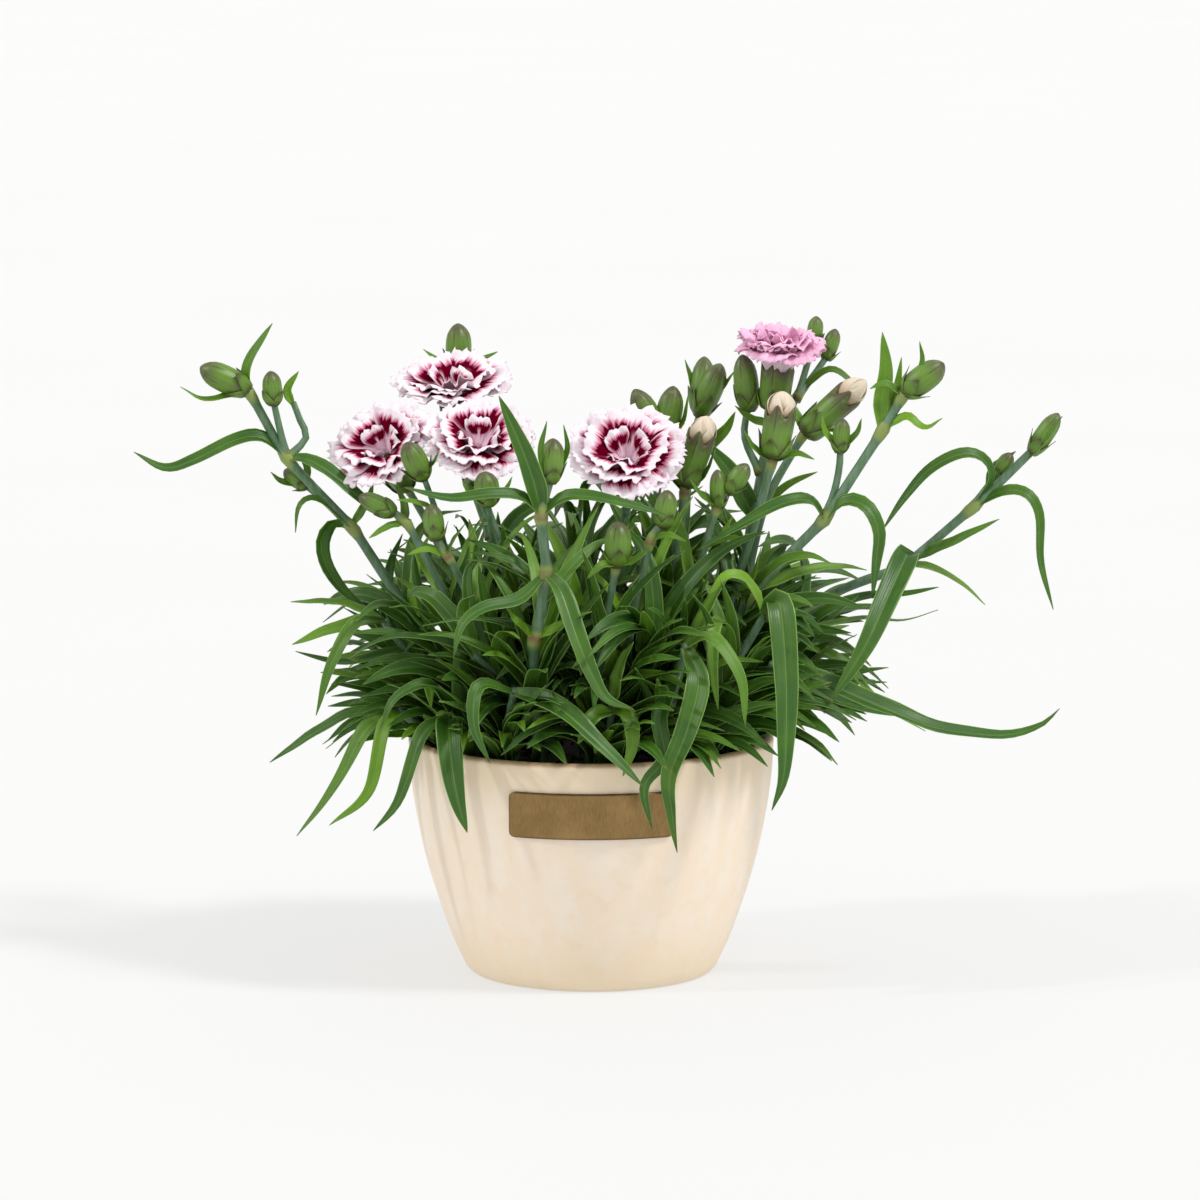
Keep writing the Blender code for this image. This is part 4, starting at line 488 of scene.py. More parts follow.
def droop_leaf(rng, start, ahead, out, long, fall):
    """Points of a leaf that leaves a stem beside its tip, then bends over and hangs as it lengthens."""
    lean = rng.uniform(18, 42)
    points = [np.array(start, float)]
    way = unit(math.cos(math.radians(lean)) * ahead + math.sin(math.radians(lean)) * out)
    sideways = unit(np.cross(ahead, out)) * rng.uniform(-0.12, 0.12)
    runs = 5
    for k in range(runs):
        points.append(points[-1] + way * long / runs)
        level = unit(out * (1, 1, 0.0) + 1e-6)
        way = unit(way + fall * (0.4 + 0.28 * k) * (0.45 * level - np.array((0, 0, 0.75))) + sideways)
    return [tuple(p) for p in points]


def inside_bush(points):
    """Whether a leaf keeps within the spread of the tuft, and clear of the pot's wall."""
    p = np.array(points)[1:]
    off, z = np.hypot(p[:, 0], p[:, 1]), p[:, 2]
    spread = np.linalg.norm((p[:, :2] - TUFT_MIDDLE) / TUFT_HALF, axis=1)
    high = z < TUFT_TOP - TUFT_FALL * spread**2
    wall = (off < 64) | (z > RIM_TOP + 3.0) | (off > 76)
    low = z > np.where(off < 66, 86, 66)
    return bool((spread < 1.0).all() and high.all() and wall.all() and low.all())


def grow_pairs(rng, room, own, line, spots, turn, long, width):
    """Opposite pairs of leaves along a stem, each pair at a right angle to the last. A leaf with no room is
    left out."""
    line = even(line, STATIONS)
    ahead = unit(np.gradient(line, axis=0))
    made = []
    for n, spot in enumerate(spots):
        k = int(spot * (STATIONS - 1))
        first, second = across_axes(ahead[k])
        for half in (0, math.pi):
            for tries in range(40):
                a = turn + half + n * math.pi / 2 + rng.uniform(-0.5, 0.5)
                out = math.cos(a) * first + math.sin(a) * second
                size = long * rng.uniform(0.8, 1.15) * (1 - 0.012 * tries)
                fall = rng.uniform(0.12, 0.6)
                points = droop_leaf(rng, line[k], ahead[k], out, size, fall)
                wide = width * rng.uniform(0.85, 1.12)
                show = rng.uniform(0.1, 0.6)
                cloud = leaf_cloud(points, wide, show)
                free = cloud[np.linalg.norm(cloud - line[k], axis=1) > AT_FOOT]
                others, itself = room.taken(free, own)
                if inside_bush(points) and others == 0 and itself < 70:
                    made.append((wide, show, points))
                    room.fill(cloud, own)
                    break
    return made


def is_shoot(name):
    """Whether a plant is one of the numbered shoots, which no row of the table gives."""
    return name[-1].isdigit()


def off_centre(p):
    """How far out a plant is rooted, as a share of the spread of the shoots."""
    return math.hypot(*p["line"][0][:2]) / SHOOT_SPREAD


def shoot_root(rng, plants):
    """The barest of a few random spots on the soil."""
    best = (0, 0, 0)
    for _ in range(24):
        r, a = SHOOT_SPREAD * math.sqrt(rng.random()), rng.uniform(0, 2 * math.pi)
        x, y = r * math.cos(a), r * math.sin(a)
        near = min(math.hypot(x - s["line"][0][0], y - s["line"][0][1]) for s in plants.values())
        best = max(best, (near, x, y))
    return best


def shoot_line(rng, x, y):
    """A basal shoot: it stands up in the middle of the tuft and leans out near its edge."""
    r = math.hypot(x, y) / SHOOT_SPREAD
    away = math.atan2(y, x) + rng.uniform(-0.4, 0.4)
    out = np.array((math.cos(away), math.sin(away), 0))
    long = rng.uniform(44, 70) * (1.12 - 0.3 * r)
    lean, bend = math.radians(2 + 14 * r), math.radians(16 + 50 * r)
    p = np.array((x, y, soil_height(x, y) + 3.0))
    points = []
    for k in range(1, 5):
        a = lean + bend * (k / 4) ** 1.5
        p = p + long / 4 * (math.cos(a) * np.array((0, 0, 1)) + math.sin(a) * out)
        points.append(tuple(p))
    return [(x, y)] + points


def plan():
    """Every stem and shoot with its line and leaves, found in one fixed order."""
    rng = random.Random(SEED)
    room = Room()
    ring = np.linspace(0, 2 * math.pi, 480)
    for z in np.arange(0, RIM_TOP + 1, 1.0):
        for r in (pot_radius(z), pot_radius(z) - POT_WALL):
            room.fill(np.stack([r * np.cos(ring), r * np.sin(ring), 0 * ring + z], axis=1), POT_OWNER)
    blooms = {name: petals_of(bloom, rng) for name, bloom in BLOOMS.items()}
    for own, petals in enumerate(blooms.values(), BLOOM_OWNER):
        for rows, _ in petals:
            room.fill(spread(rows), own)
    plants = {}
    for own, (name, spec) in enumerate(STEMS.items(), STEM_OWNER):
        line = full_line(spec["line"])
        plants[name] = dict(spec, line=line, own=own, leaves=list(spec["leaves"]))
        room.fill(tube_cloud(line, spec["thick"] + 0.6), own)
        for extra in spec["side"]:
            room.fill(tube_cloud(extra, spec["thick"]), own)
        for width, show, points in spec["leaves"]:
            room.fill(leaf_cloud(points, width, show), own)
        for radius, foot, tip in spec["buds"]:
            room.fill(tube_cloud([foot, tip], radius + 1.0), own)
    for stem, foot, tip, radius in TIPS.values():
        room.fill(tube_cloud([foot, tip], radius + 1.5), plants[stem]["own"])
    for stem, centre, axis, _, _ in BLOOMS.values():
        foot = np.array(centre) - (TUBE_FOOT - 1) * unit(axis)
        room.fill(tube_cloud([foot, centre], 6.5), plants[stem]["own"])
    for k in range(SHOOTS):
        own = SHOOT_OWNER + k
        for _ in range(TRIES):
            near, x, y = shoot_root(rng, plants)
            line = full_line(shoot_line(rng, x, y))
            if near > ROOT_CLEAR and room.taken(tube_cloud(line, SHOOT_ROOM), own)[0] == 0:
                break
        else:
            continue
        room.fill(tube_cloud(line, SHOOT_ROOM), own)
        plants[f"shoot_{k + 1:02d}"] = dict(plant(SHOOT_THICK, line, []), own=own)
    for name, p in plants.items():
        wild = is_shoot(name)
        spots = [0.44, 0.62, 0.8, 0.99] if wild else ([0.34] if p["line"][-1][2] > 160 else [0.5])
        long = (80 - 10 * off_centre(p)) if wild else 58
        p["leaves"] += grow_pairs(rng, room, p["own"], stem_line(p["line"], p["joints"]), spots,
                                  rng.uniform(0, 6), long, 7.0)
    return plants, blooms, room


def spread(rows):
    """Points about a millimetre apart over a petal."""
    cloud = []
    for a, b in zip(rows, rows[1:]):
        a, b = spline_row(a, 20), spline_row(b, 20)
        cloud += [a + (b - a) * t for t in np.linspace(0, 1, 10)]
    return np.vstack(cloud)


def spline_row(row, count):
    row = np.array(row)
    at = np.linspace(0, len(row) - 1, count)
    return np.stack([np.interp(at, np.arange(len(row)), row[:, k]) for k in range(3)], axis=1)


# Found once and then kept: the plan of the plant, and the blades by their columns and rows.
GROWN, BLANKS = {}, {}
LEAF, STEM, SEPAL = range(3)  # the order of a plant's materials


def only(obj=None):
    """Deselect everything, then select this object alone."""
    for other in list(bpy.context.selected_objects):
        other.select_set(False)
    bpy.context.view_layer.objects.active = obj
    if obj:
        obj.select_set(True)


def settle(obj, name, body="root"):
    """Give a finished piece its name and put its place in its mesh."""
    only(obj)
    bpy.ops.object.transform_apply(location=True, rotation=True, scale=True)
    obj.name = obj.data.name = name
    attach(obj, body)
    return obj


class Blank:
    """A flat blade modelled once. Every leaf, bract and petal is a copy of one, laid along its own line."""

    def __init__(self, columns, rows):
        only()
        bpy.ops.mesh.primitive_grid_add(x_subdivisions=columns, y_subdivisions=rows, size=2)
        obj = bpy.context.object
        obj.modifiers.new("two_faces", "SOLIDIFY").thickness = 1.0
        obj.modifiers["two_faces"].offset = 0.0
        bpy.ops.object.modifier_apply(modifier="two_faces")
        co = np.empty(len(obj.data.vertices) * 3)
        obj.data.vertices.foreach_get("co", co)
        co = co.reshape(-1, 3)
        self.rows = rows + 1
        self.s, self.t, self.face = co[:, 0], (co[:, 1] + 1) / 2, np.sign(co[:, 2])
        self.row = np.round(self.t * rows).astype(int)
        self.faces = np.array([list(p.vertices) for p in obj.data.polygons])
        self.corner_uv = np.stack([(self.s + 1) / 2, self.t], axis=1)[self.faces.ravel()]
        bpy.data.objects.remove(obj)

    def shape(self, points, tint, slot):
        """A copy whose mark is 1 on the blade's upper side and 0 below."""
        return turned_out(dict(points=points, quads=self.faces, quad_uv=self.corner_uv,
                               tris=np.zeros((0, 3), int), tri_uv=np.zeros((0, 2)),
                               tint=np.full(len(points), tint), mark=(self.face + 1) / 2, slot=slot))


def turned_out(shape):
    """The closed shape with its faces turned outwards."""
    p, q, t = shape["points"], shape["quads"], shape["tris"]
    corners = np.vstack([q[:, [0, 1, 2]], q[:, [0, 2, 3]], t])
    a, b, c = (p[corners[:, k]] - p[0] for k in range(3))
    if np.einsum("ij,ij->i", a, np.cross(b, c)).sum() < 0:
        shape["quads"], shape["tris"] = q[:, ::-1], t[:, ::-1]
        shape["quad_uv"] = shape["quad_uv"].reshape(-1, 4, 2)[:, ::-1].reshape(-1, 2)
        shape["tri_uv"] = shape["tri_uv"].reshape(-1, 3, 2)[:, ::-1].reshape(-1, 2)
    return shape


def skin(rings, along, tint, mark, slot):
    """A closed surface over rings of points, with a fan at each end."""
    n, m = rings.shape[:2]
    points = np.vstack([rings.reshape(-1, 3), rings[0].mean(0), rings[-1].mean(0)])
    r, k = (g.ravel() for g in np.meshgrid(np.arange(n - 1), np.arange(m), indexing="ij"))
    j = (k + 1) % m
    quads = np.stack([r * m + k, r * m + j, (r + 1) * m + j, (r + 1) * m + k], axis=1)
    u, v = np.stack([k, k + 1, k + 1, k], axis=1) / m, along[np.stack([r, r, r + 1, r + 1], axis=1)]
    k = np.arange(m)
    j = (k + 1) % m
    end = (n - 1) * m
    foot, tip = np.full(m, n * m), np.full(m, n * m + 1)
    tris = np.vstack([np.stack([foot, j, k], axis=1), np.stack([tip, end + k, end + j], axis=1)])
    tri_uv = np.stack([np.tile(k, 2) / m, np.repeat(along[[0, -1]], m)], axis=1).repeat(3, axis=0)
    mark = np.broadcast_to(mark, n).astype(float)
    return turned_out(dict(points=points, quads=quads, quad_uv=np.stack([u, v], axis=-1).reshape(-1, 2),
                           tris=tris, tri_uv=tri_uv, tint=np.full(len(points), tint),
                           mark=np.concatenate([np.repeat(mark, m), mark[[0, -1]]]), slot=slot))


def joined(name, shapes, materials, node):
    """One smooth piece of many shapes, standing for a node."""
    starts = np.cumsum([0] + [len(s["points"]) for s in shapes])
    quads = np.vstack([s["quads"] + at for s, at in zip(shapes, starts)])
    tris = np.vstack([s["tris"] + at for s, at in zip(shapes, starts)])
    mesh = bpy.data.meshes.new(name)
    points = np.vstack([s["points"] for s in shapes]) * MM
    mesh.from_pydata(points.tolist(), [], quads.tolist() + tris.tolist())
    uv = np.vstack([s["quad_uv"] for s in shapes] + [s["tri_uv"] for s in shapes])
    mesh.uv_layers.new(name="lie").uv.foreach_set("vector", uv.astype(np.float32).ravel())
    for key in ("tint", "mark"):
        values = np.concatenate([s[key] for s in shapes]).astype(np.float32)
        mesh.attributes.new(key, "FLOAT", "POINT").data.foreach_set("value", values)
    finish = [s["slot"] for s in shapes]
    finish = np.concatenate([np.repeat(finish, [len(s["quads"]) for s in shapes]),
                             np.repeat(finish, [len(s["tris"]) for s in shapes])])
    mesh.polygons.foreach_set("material_index", finish.astype(np.int32))
    mesh.polygons.foreach_set("use_smooth", np.ones(len(finish), bool))
    mesh.update()
    for made in materials:
        mesh.materials.append(made)
    obj = bpy.data.objects.new(name, mesh)
    bpy.context.scene.collection.objects.link(obj)
    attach(obj, "root")
    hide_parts(node)
    return obj


def laid_leaf(blank, points, width, show, rng, tint, roll, thick, wave=0.1):
    """A strap leaf along its line: channelled, with a groove over the midrib, a slow roll and waved edges."""
    line, half, sides, ups = leaf_frame(points, width, show, blank.rows)
    half = np.maximum(half, 0.14)
    t = np.linspace(0, 1, blank.rows)[:, None]
    turn = roll * rng.uniform(-1, 1) * t
    turn = turn + 0.5 * roll * np.sin(math.pi * t * rng.uniform(0.8, 2.0) + rng.uniform(0, 6)) * t
    sides, ups = np.cos(turn) * sides + np.sin(turn) * ups, np.cos(turn) * ups - np.sin(turn) * sides
    s, r = blank.s[:, None], blank.row
    deep = (0.42 if width >= BROAD else 0.3) * (1.25 - 0.75 * t)
    curl = deep[r] * abs(s) ** 1.7 - 0.09 * np.exp(-((s / 0.16) ** 2))
    turns = rng.uniform(1.5, 4.0)
    curl = curl + wave * s * abs(s) * np.sin(2 * math.pi * turns * t[r] + rng.uniform(0, 6) + 1.4 * s)
    skin_deep = blank.face[:, None] * thick / 2 * (1 - 0.78 * s**4) * (1 - 0.5 * t[r])
    placed = line[r] - s * half[r] * sides[r] + (curl * half[r] + skin_deep) * ups[r]
    return blank.shape(placed, tint, LEAF)


def laid_stem(line, joints, thick, rng, sides=10):
    """A smooth stem, swollen and marked where leaves leave it."""
    line = spline(line, max(6, int(length_of(line) / 3.2)))
    ahead = unit(np.gradient(line, axis=0))
    near = np.zeros(len(line))
    for joint in joints:
        far = np.linalg.norm(line - np.array(joint, float), axis=1)
        near = np.maximum(near, np.exp(-((far / 3.0) ** 2)))
    radii = thick * np.linspace(1, 0.8, len(line)) * (0.92 + 0.48 * near)
    radii = radii * (1 + 0.02 * np.sin(np.arange(len(line)) * 0.9 + rng.uniform(0, 6)))
    first, _ = across_axes(ahead[0])
    rings = []
    for p, t, r in zip(line, ahead, radii):
        first = unit(first - (first @ t) * t)
        angles = np.arange(sides) * 2 * math.pi / sides
        rings.append(p + r * (np.cos(angles)[:, None] * first + np.sin(angles)[:, None] * np.cross(t, first)))
    return skin(np.array(rings), np.linspace(0, 1, len(line)), rng.random(), near, STEM)


def about(foot, axis, along, radii, sides, lobes=None, lift=None, twist=None):
    """Rings of points about an axis. Lobes swell or draw in each ring by angle, twist turns the lobes, and
    lift moves them along."""
    axis = unit(axis)
    first, second = across_axes(axis)
    angles = np.arange(sides) * 2 * math.pi / sides
    ways = np.cos(angles)[:, None] * first + np.sin(angles)[:, None] * second
    none = np.zeros(len(along))
    lobes, lift, twist = (none if given is None else given for given in (lobes, lift, twist))
    rings = []
    for z, r, swell, up, turn in zip(along, radii, lobes, lift, twist):
        five = np.cos(5 * angles + turn)[:, None]
        rings.append(foot + (z + up * five) * axis + r * (1 + swell * five) * ways)
    return np.array(rings)


def bracts(blank, foot, axis, heights, radii, rng, slot, count=4, long=0.5, wide=1.5, flare=1.3):
    """Pointed scales that hug the foot of a bud or a calyx, with tips that stand off it."""
    axis = unit(axis)
    first, second = across_axes(axis)
    made, turn = [], rng.uniform(0, 6)
    low, high = heights[0], heights[-1]
    for k in range(count):
        a = turn + 2 * math.pi * k / count
        size = long * rng.uniform(0.85, 1.15)
        z = low + (high - low) * size * blank.t
        r = np.interp(z, heights, radii)
        half = wide * max(radii) * 0.5 * (1 - blank.t**1.6) + 0.08
        angle = a + blank.s * half / np.maximum(r, 0.8)
        off = r + 0.3 + 0.28 * (k % 2) + flare * blank.t**4 + blank.face * 0.14 * (1 - 0.7 * blank.s**2)
        ring = np.cos(angle)[:, None] * first + np.sin(angle)[:, None] * second
        points = foot + z[:, None] * axis + off[:, None] * ring
        made.append(blank.shape(points, rng.random(), slot))
    return made


def laid_bud(blank, radius, foot, tip, rng):
    """A closed bud: five green sepals wrapped to a point, and two pairs of scales at its foot."""
    foot, tip = np.array(foot, float), np.array(tip, float)
    long = np.linalg.norm(tip - foot)
    t = np.array([-0.13, -0.09, 0.0, 0.1, 0.22, 0.36, 0.5, 0.64, 0.76, 0.86, 0.93, 0.97, 0.99, 1.0])
    r = np.array([0.36, 0.5, 0.74, 0.9, 1.0, 1.05, 1.05, 1.01, 0.9, 0.7, 0.48, 0.3, 0.16, 0.05])
    rings = about(foot, tip - foot, t * long, r * radius, 20, lobes=-0.05 * np.clip((t - 0.3) / 0.5, 0, 1))
    made = [skin(rings, np.clip(t, 0, 1), rng.random(), 0.0, SEPAL)]
    return made + bracts(blank, foot, tip - foot, t[:10] * long, r[:10] * radius, rng, SEPAL,
                         flare=0.16 * radius + 0.5)


def laid_calyx(blank, foot, top, radius, rng, teeth=1.0):
    """The green tube under a flower: five teeth round its mouth, a cup inside, and scales at its foot."""
    foot, top = np.array(foot, float), np.array(top, float)
    long = np.linalg.norm(top - foot)
    outside = [(-1.0, 0.4, 0), (-0.4, 0.6, 0), (0.6, 0.8, 0), (2.0, 0.9, 0), (0.3 * long, 0.96, 0),
               (0.6 * long, 1.0, 0), (0.82 * long, 1.02, 0.5), (long - 0.4, 1.04, 1.3), (long, 1.0, 1.7)]
    inside = [(long - 0.2, 0.93, 1.5), (long - 1.6, 0.8, 0.6), (long - 3.0, 0.5, 0)]
    z, r, lift = (np.array(c) for c in zip(*outside, *inside))
    rings = about(foot, top - foot, z, r * radius, 40, lift=teeth * lift)
    v = np.clip(z / long, 0, 1)
    mark = np.where(np.arange(len(z)) >= len(outside), 1.0, 0.0)
    made = [skin(rings, v, rng.random(), mark, SEPAL)]
    return made + bracts(blank, foot, top - foot, z[:7], r[:7] * radius, rng, SEPAL, long=0.62, wide=1.35)


def laid_petal(blank, bloom, angle, long, wide, lift, rng, ruffle, curl=12, stand=22, claw=(1.4, 0.1),
               sunk=4.2):
    """A petal: a narrow claw that opens into a broad fan, ruffled towards its toothed edge. Lift is the slope
    of the fan, stand what the claw adds to it and curl what its edge takes off, all in degrees. Claw says how
    far from the flower's axis it begins and with what share of the width, and sunk how far below its middle.
    """
    _, centre, axis, _, _ = bloom
    axis = unit(axis)
    first, second = across_axes(axis)
    out = math.cos(angle) * first + math.sin(angle) * second
    across = np.cross(axis, out)
    s, u = blank.s, blank.t
    rows = np.linspace(0, 1, blank.rows)
    slope = np.radians(lift + stand * (1 - rows) - curl * rows**2)
    run = np.concatenate([[0], np.cumsum(np.cos(slope[1:]) / (blank.rows - 1))])
    rise = np.concatenate([[0], np.cumsum(np.sin(slope[1:]) / (blank.rows - 1))])
    broad = claw[1] + (1 - claw[1]) * np.sin(np.clip(u * 1.3, 0, 1) * math.pi / 2) ** 1.4
    p, q = rng.uniform(0, 6), rng.uniform(0, 6)
    fringe = 0.035 * np.sin(24.8 * s + p) + 0.022 * np.sin(42.4 * s + q)
    reach = u * (1.0 - 0.2 * s * s) + np.where(blank.row == blank.rows - 1, fringe, 0)
    rho = claw[0] + 1.6 * np.clip(u * 4, 0, 1) + long * np.interp(reach, rows, run)
    high = -sunk + 2.9 * np.clip(u * 4, 0, 1) + long * np.interp(reach, rows, rise)
    over = np.clip(reach - 1, 0, 1) * long
    rho, high = rho + over * math.cos(slope[-1]), high + over * math.sin(slope[-1])
    wave = ruffle * long * u**2.0 * (np.sin(2.1 * math.pi * s + p) + 0.6 * np.sin(3.6 * math.pi * s + q))
    wave += 0.022 * long * u**4 * np.sin(19 * s + p * 3) + LAP * s * u
    tilt = slope[blank.row]
    up = np.cos(tilt)[:, None] * axis - np.sin(tilt)[:, None] * out
    skin_deep = blank.face * 0.17 * (1 - 0.7 * s**4)
    points = (np.array(centre) + rho[:, None] * out + high[:, None] * axis
              + (s * broad * wide / 2)[:, None] * across + (wave + skin_deep)[:, None] * up)
    return blank.shape(points, rng.random(), 0)


class Nodes:
    """The nodes of one shader tree. Wherever a value goes in, it may be the socket that feeds it."""

    def __init__(self, tree):
        self.tree = tree

    def feed(self, socket, value):
        if isinstance(value, bpy.types.NodeSocket):
            self.tree.links.new(value, socket)
        else:
            socket.default_value = value

    def add(self, kind, inputs=None, **settings):
        made = self.tree.nodes.new("ShaderNode" + kind)
        for key, value in settings.items():
            setattr(made, key, value)
        for key, value in (inputs or {}).items():
            self.feed(made.inputs[key], value)
        return made

    def math(self, operation, *values):
        return self.add("Math", dict(enumerate(values)), operation=operation).outputs[0]

    def times(self, first, *rest):
        for value in rest:
            first = self.math("MULTIPLY", first, value)
        return first

    def plus(self, first, *rest):
        for value in rest:
            first = self.math("ADD", first, value)
        return first

    def scaled(self, value, by, plus):
        return self.math("MULTIPLY_ADD", value, by, plus)

    def step(self, value, low, high):
        """A smooth step from 0 at the low value to 1 at the high one, or down where low is above high."""
        up = float(low < high)
        inputs = {0: value, 1: min(low, high), 2: max(low, high), 3: 1.0 - up, 4: up}
        return self.add("MapRange", inputs, interpolation_type="SMOOTHSTEP").outputs[0]

    def mixed(self, share, first, second):
        """Two colours, by the share of the second."""
        made = self.add("Mix", {0: share}, data_type="RGBA")
        for key, value in ((6, first), (7, second)):
            self.feed(made.inputs[key], value if isinstance(value, bpy.types.NodeSocket) else (*value[:3], 1))
        return made.outputs[2]

    def painted(self, colour, over, value, low, high, strength):
        """The colour, with another laid over it where the value steps from low to high."""
        return self.mixed(self.times(self.step(value, low, high), strength), colour, over)

    def field(self, x, y, z, scale=1.0, detail=2.0):
        """Noise about 0.5 over three values."""
        place = self.add("CombineXYZ", {0: x, 1: y, 2: z}).outputs[0]
        return self.add("TexNoise", {"Vector": place, "Scale": scale, "Detail": detail}).outputs["Fac"]

    def attribute(self, name):
        return self.add("Attribute", attribute_name=name).outputs["Fac"]

    def lie(self):
        """Across and along a piece's own map, how far off its middle line, and its tint and mark."""
        u, v, _ = self.add("SeparateXYZ", {0: self.add("UVMap", uv_map="lie").outputs[0]}).outputs
        off = self.math("ABSOLUTE", self.scaled(u, 2.0, -1.0))
        return u, v, off, self.attribute("tint"), self.attribute("mark")

    def place(self):
        """The piece's own coordinates in millimetres."""
        where = self.add("TexCoord").outputs["Object"]
        scaled = self.add("VectorMath", {0: where, "Scale": 1 / MM}, operation="SCALE").outputs[0]
        return self.add("SeparateXYZ", {0: scaled}).outputs

    def grain(self, scale, stretch, detail):
        """The streak and the cloud of the shared grain."""
        given = {"Scale": scale, "Stretch": stretch, "Detail": detail}
        made = self.add("Group", node_tree=shared(grain))
        for label, value in given.items():
            made.inputs[label].default_value = value
        return made.outputs["Streak"], made.outputs["Cloud"]

    def relief(self, shader, height, strength, deep):
        """Bumps this many millimetres deep."""
        bump = self.add("Bump", {"Height": height, "Strength": strength, "Distance": deep * MM})
        self.feed(shader.inputs["Normal"], bump.outputs[0])


def new_group(name, colours, values, outputs=("Color", "Height")):
    """A shader group with named sockets: its nodes, and its inputs and outputs by name."""
    tree = bpy.data.node_groups.new(name, "ShaderNodeTree")
    sockets = [(label, "NodeSocketColor", (*default, 1)) for label, default in colours.items()]
    sockets += [(label, "NodeSocketFloat", default) for label, default in values.items()]
    for label, kind, default in sockets:
        tree.interface.new_socket(label, in_out="INPUT", socket_type=kind).default_value = default
    for label in outputs:
        kind = "NodeSocketColor" if label == "Color" else "NodeSocketFloat"
        tree.interface.new_socket(label, in_out="OUTPUT", socket_type=kind)
    return Nodes(tree), tree.nodes.new("NodeGroupInput").outputs, tree.nodes.new("NodeGroupOutput").inputs


def blade_marks(name):
    """Leaf green by the leaf's own tint, with a pale midrib, a pale edge that is partly the leaf's own margin
    and partly a painted highlight of light shining through it, fine veins, a greyer underside and a painted
    shade of darker green on the leaves low in the middle of the tuft."""
    g, given, out = new_group(name, {"Old": (0.05, 0.13, 0.03), "Young": (0.2, 0.36, 0.03),
                                     "Edge": (0.3, 0.45, 0.2), "Underside": (0.12, 0.22, 0.1)},
                              {"Vein depth": 0.5})
    u, v, off, tint, mark = g.lie()
    x, y, z = g.place()
    edge = given["Edge"]
    cloud = g.field(x, y, z, 0.06, 3.0)
    youth = g.plus(g.math("POWER", tint, 4.0), g.scaled(cloud, 0.7, -0.32))
    colour = g.mixed(g.add("Clamp", {0: youth}).outputs[0], given["Old"], given["Young"])
    colour = g.mixed(g.scaled(mark, -0.5, 0.55), colour, given["Underside"])
    streak = g.field(g.times(u, 22.0), g.times(v, 2.0), tint)
    colour = g.painted(colour, edge, streak, 0.5, 0.75, 0.14)
    colour = g.painted(colour, edge, off, 0.09, 0.0, 0.28)  # midrib
    colour = g.painted(colour, edge, off, 0.9, 0.99, 0.85)  # rim: partly the leaf's pale margin, partly a painted highlight of light shining through the edge
    colour = g.painted(colour, (0.3, 0.42, 0.16), v, 0.09, 0.0, 0.4)  # pale foot
    # Painted shade: leaves low in the middle of the tuft are darkened towards near-black green, where the
    # tuft shades them.
    level = g.add("CombineXYZ", {0: x, 1: y}).outputs[0]
    far = g.add("VectorMath", {0: level}, operation="LENGTH").outputs["Value"]
    shaded = g.times(g.step(z, 150.0, 92.0), g.step(far, 84.0, 62.0))
    colour = g.mixed(g.times(shaded, 0.62), colour, (0.006, 0.02, 0.002))
    dry = g.times(g.step(v, 0.965, 1.0), g.step(cloud, 0.45, 0.6))
    g.feed(out["Color"], g.mixed(dry, colour, (0.2, 0.12, 0.05)))
    veins = g.math("SINE", g.times(u, 75.0))
    g.feed(out["Height"], g.times(g.scaled(veins, 0.5, streak), given["Vein depth"]))
    return g.tree


def petal_marks(name):
    """A pale petal, plain behind, with a feathered dark blotch in a bright halo, split by a white streak."""
    g, given, out = new_group(name, {"Pale": (0.9, 0.78, 0.84), "Throat": (0.85, 0.62, 0.72),
                                     "Blotch": (0.16, 0.0, 0.02), "Halo": (0.55, 0.03, 0.2)},
                              {"Spread": 0.6, "Strength": 1.0})
    u, v, off, tint, mark = g.lie()
    ray = g.field(g.times(u, 17.0), g.times(v, 1.2), g.times(tint, 60.0), 1.0, 3.0)
    hair = g.field(g.times(u, 55.0), g.times(v, 2.5), g.times(tint, 90.0))
    spread = g.scaled(given["Spread"], -1.0, 0.6)
    reach = g.plus(v, g.scaled(ray, 0.4, -0.2), g.scaled(hair, 0.2, -0.1), spread)
    dark = g.times(g.step(reach, 0.24, 0.32), g.step(reach, 0.69, 0.64), g.step(off, 0.96, 0.7))
    glow = g.times(g.step(reach, 0.16, 0.34), g.step(reach, 0.84, 0.68), g.step(off, 1.0, 0.8))
    split = g.times(g.step(off, 0.24, 0.04), g.step(v, 0.6, 0.36))
    share = g.times(g.scaled(split, -0.85, 1.0), g.scaled(mark, 0.9, 0.1), given["Strength"])
    colour = g.mixed(g.step(v, 0.2, 0.62), given["Throat"], given["Pale"])
    colour = g.painted(colour, given["Throat"], ray, 0.5, 0.8, 0.35)
    colour = g.mixed(g.times(glow, share, 0.8), colour, given["Halo"])
    g.feed(out["Color"], g.mixed(g.times(dark, share), colour, given["Blotch"]))
    g.feed(out["Height"], g.field(g.times(u, 60.0), g.times(v, 4.0), tint))
    return g.tree


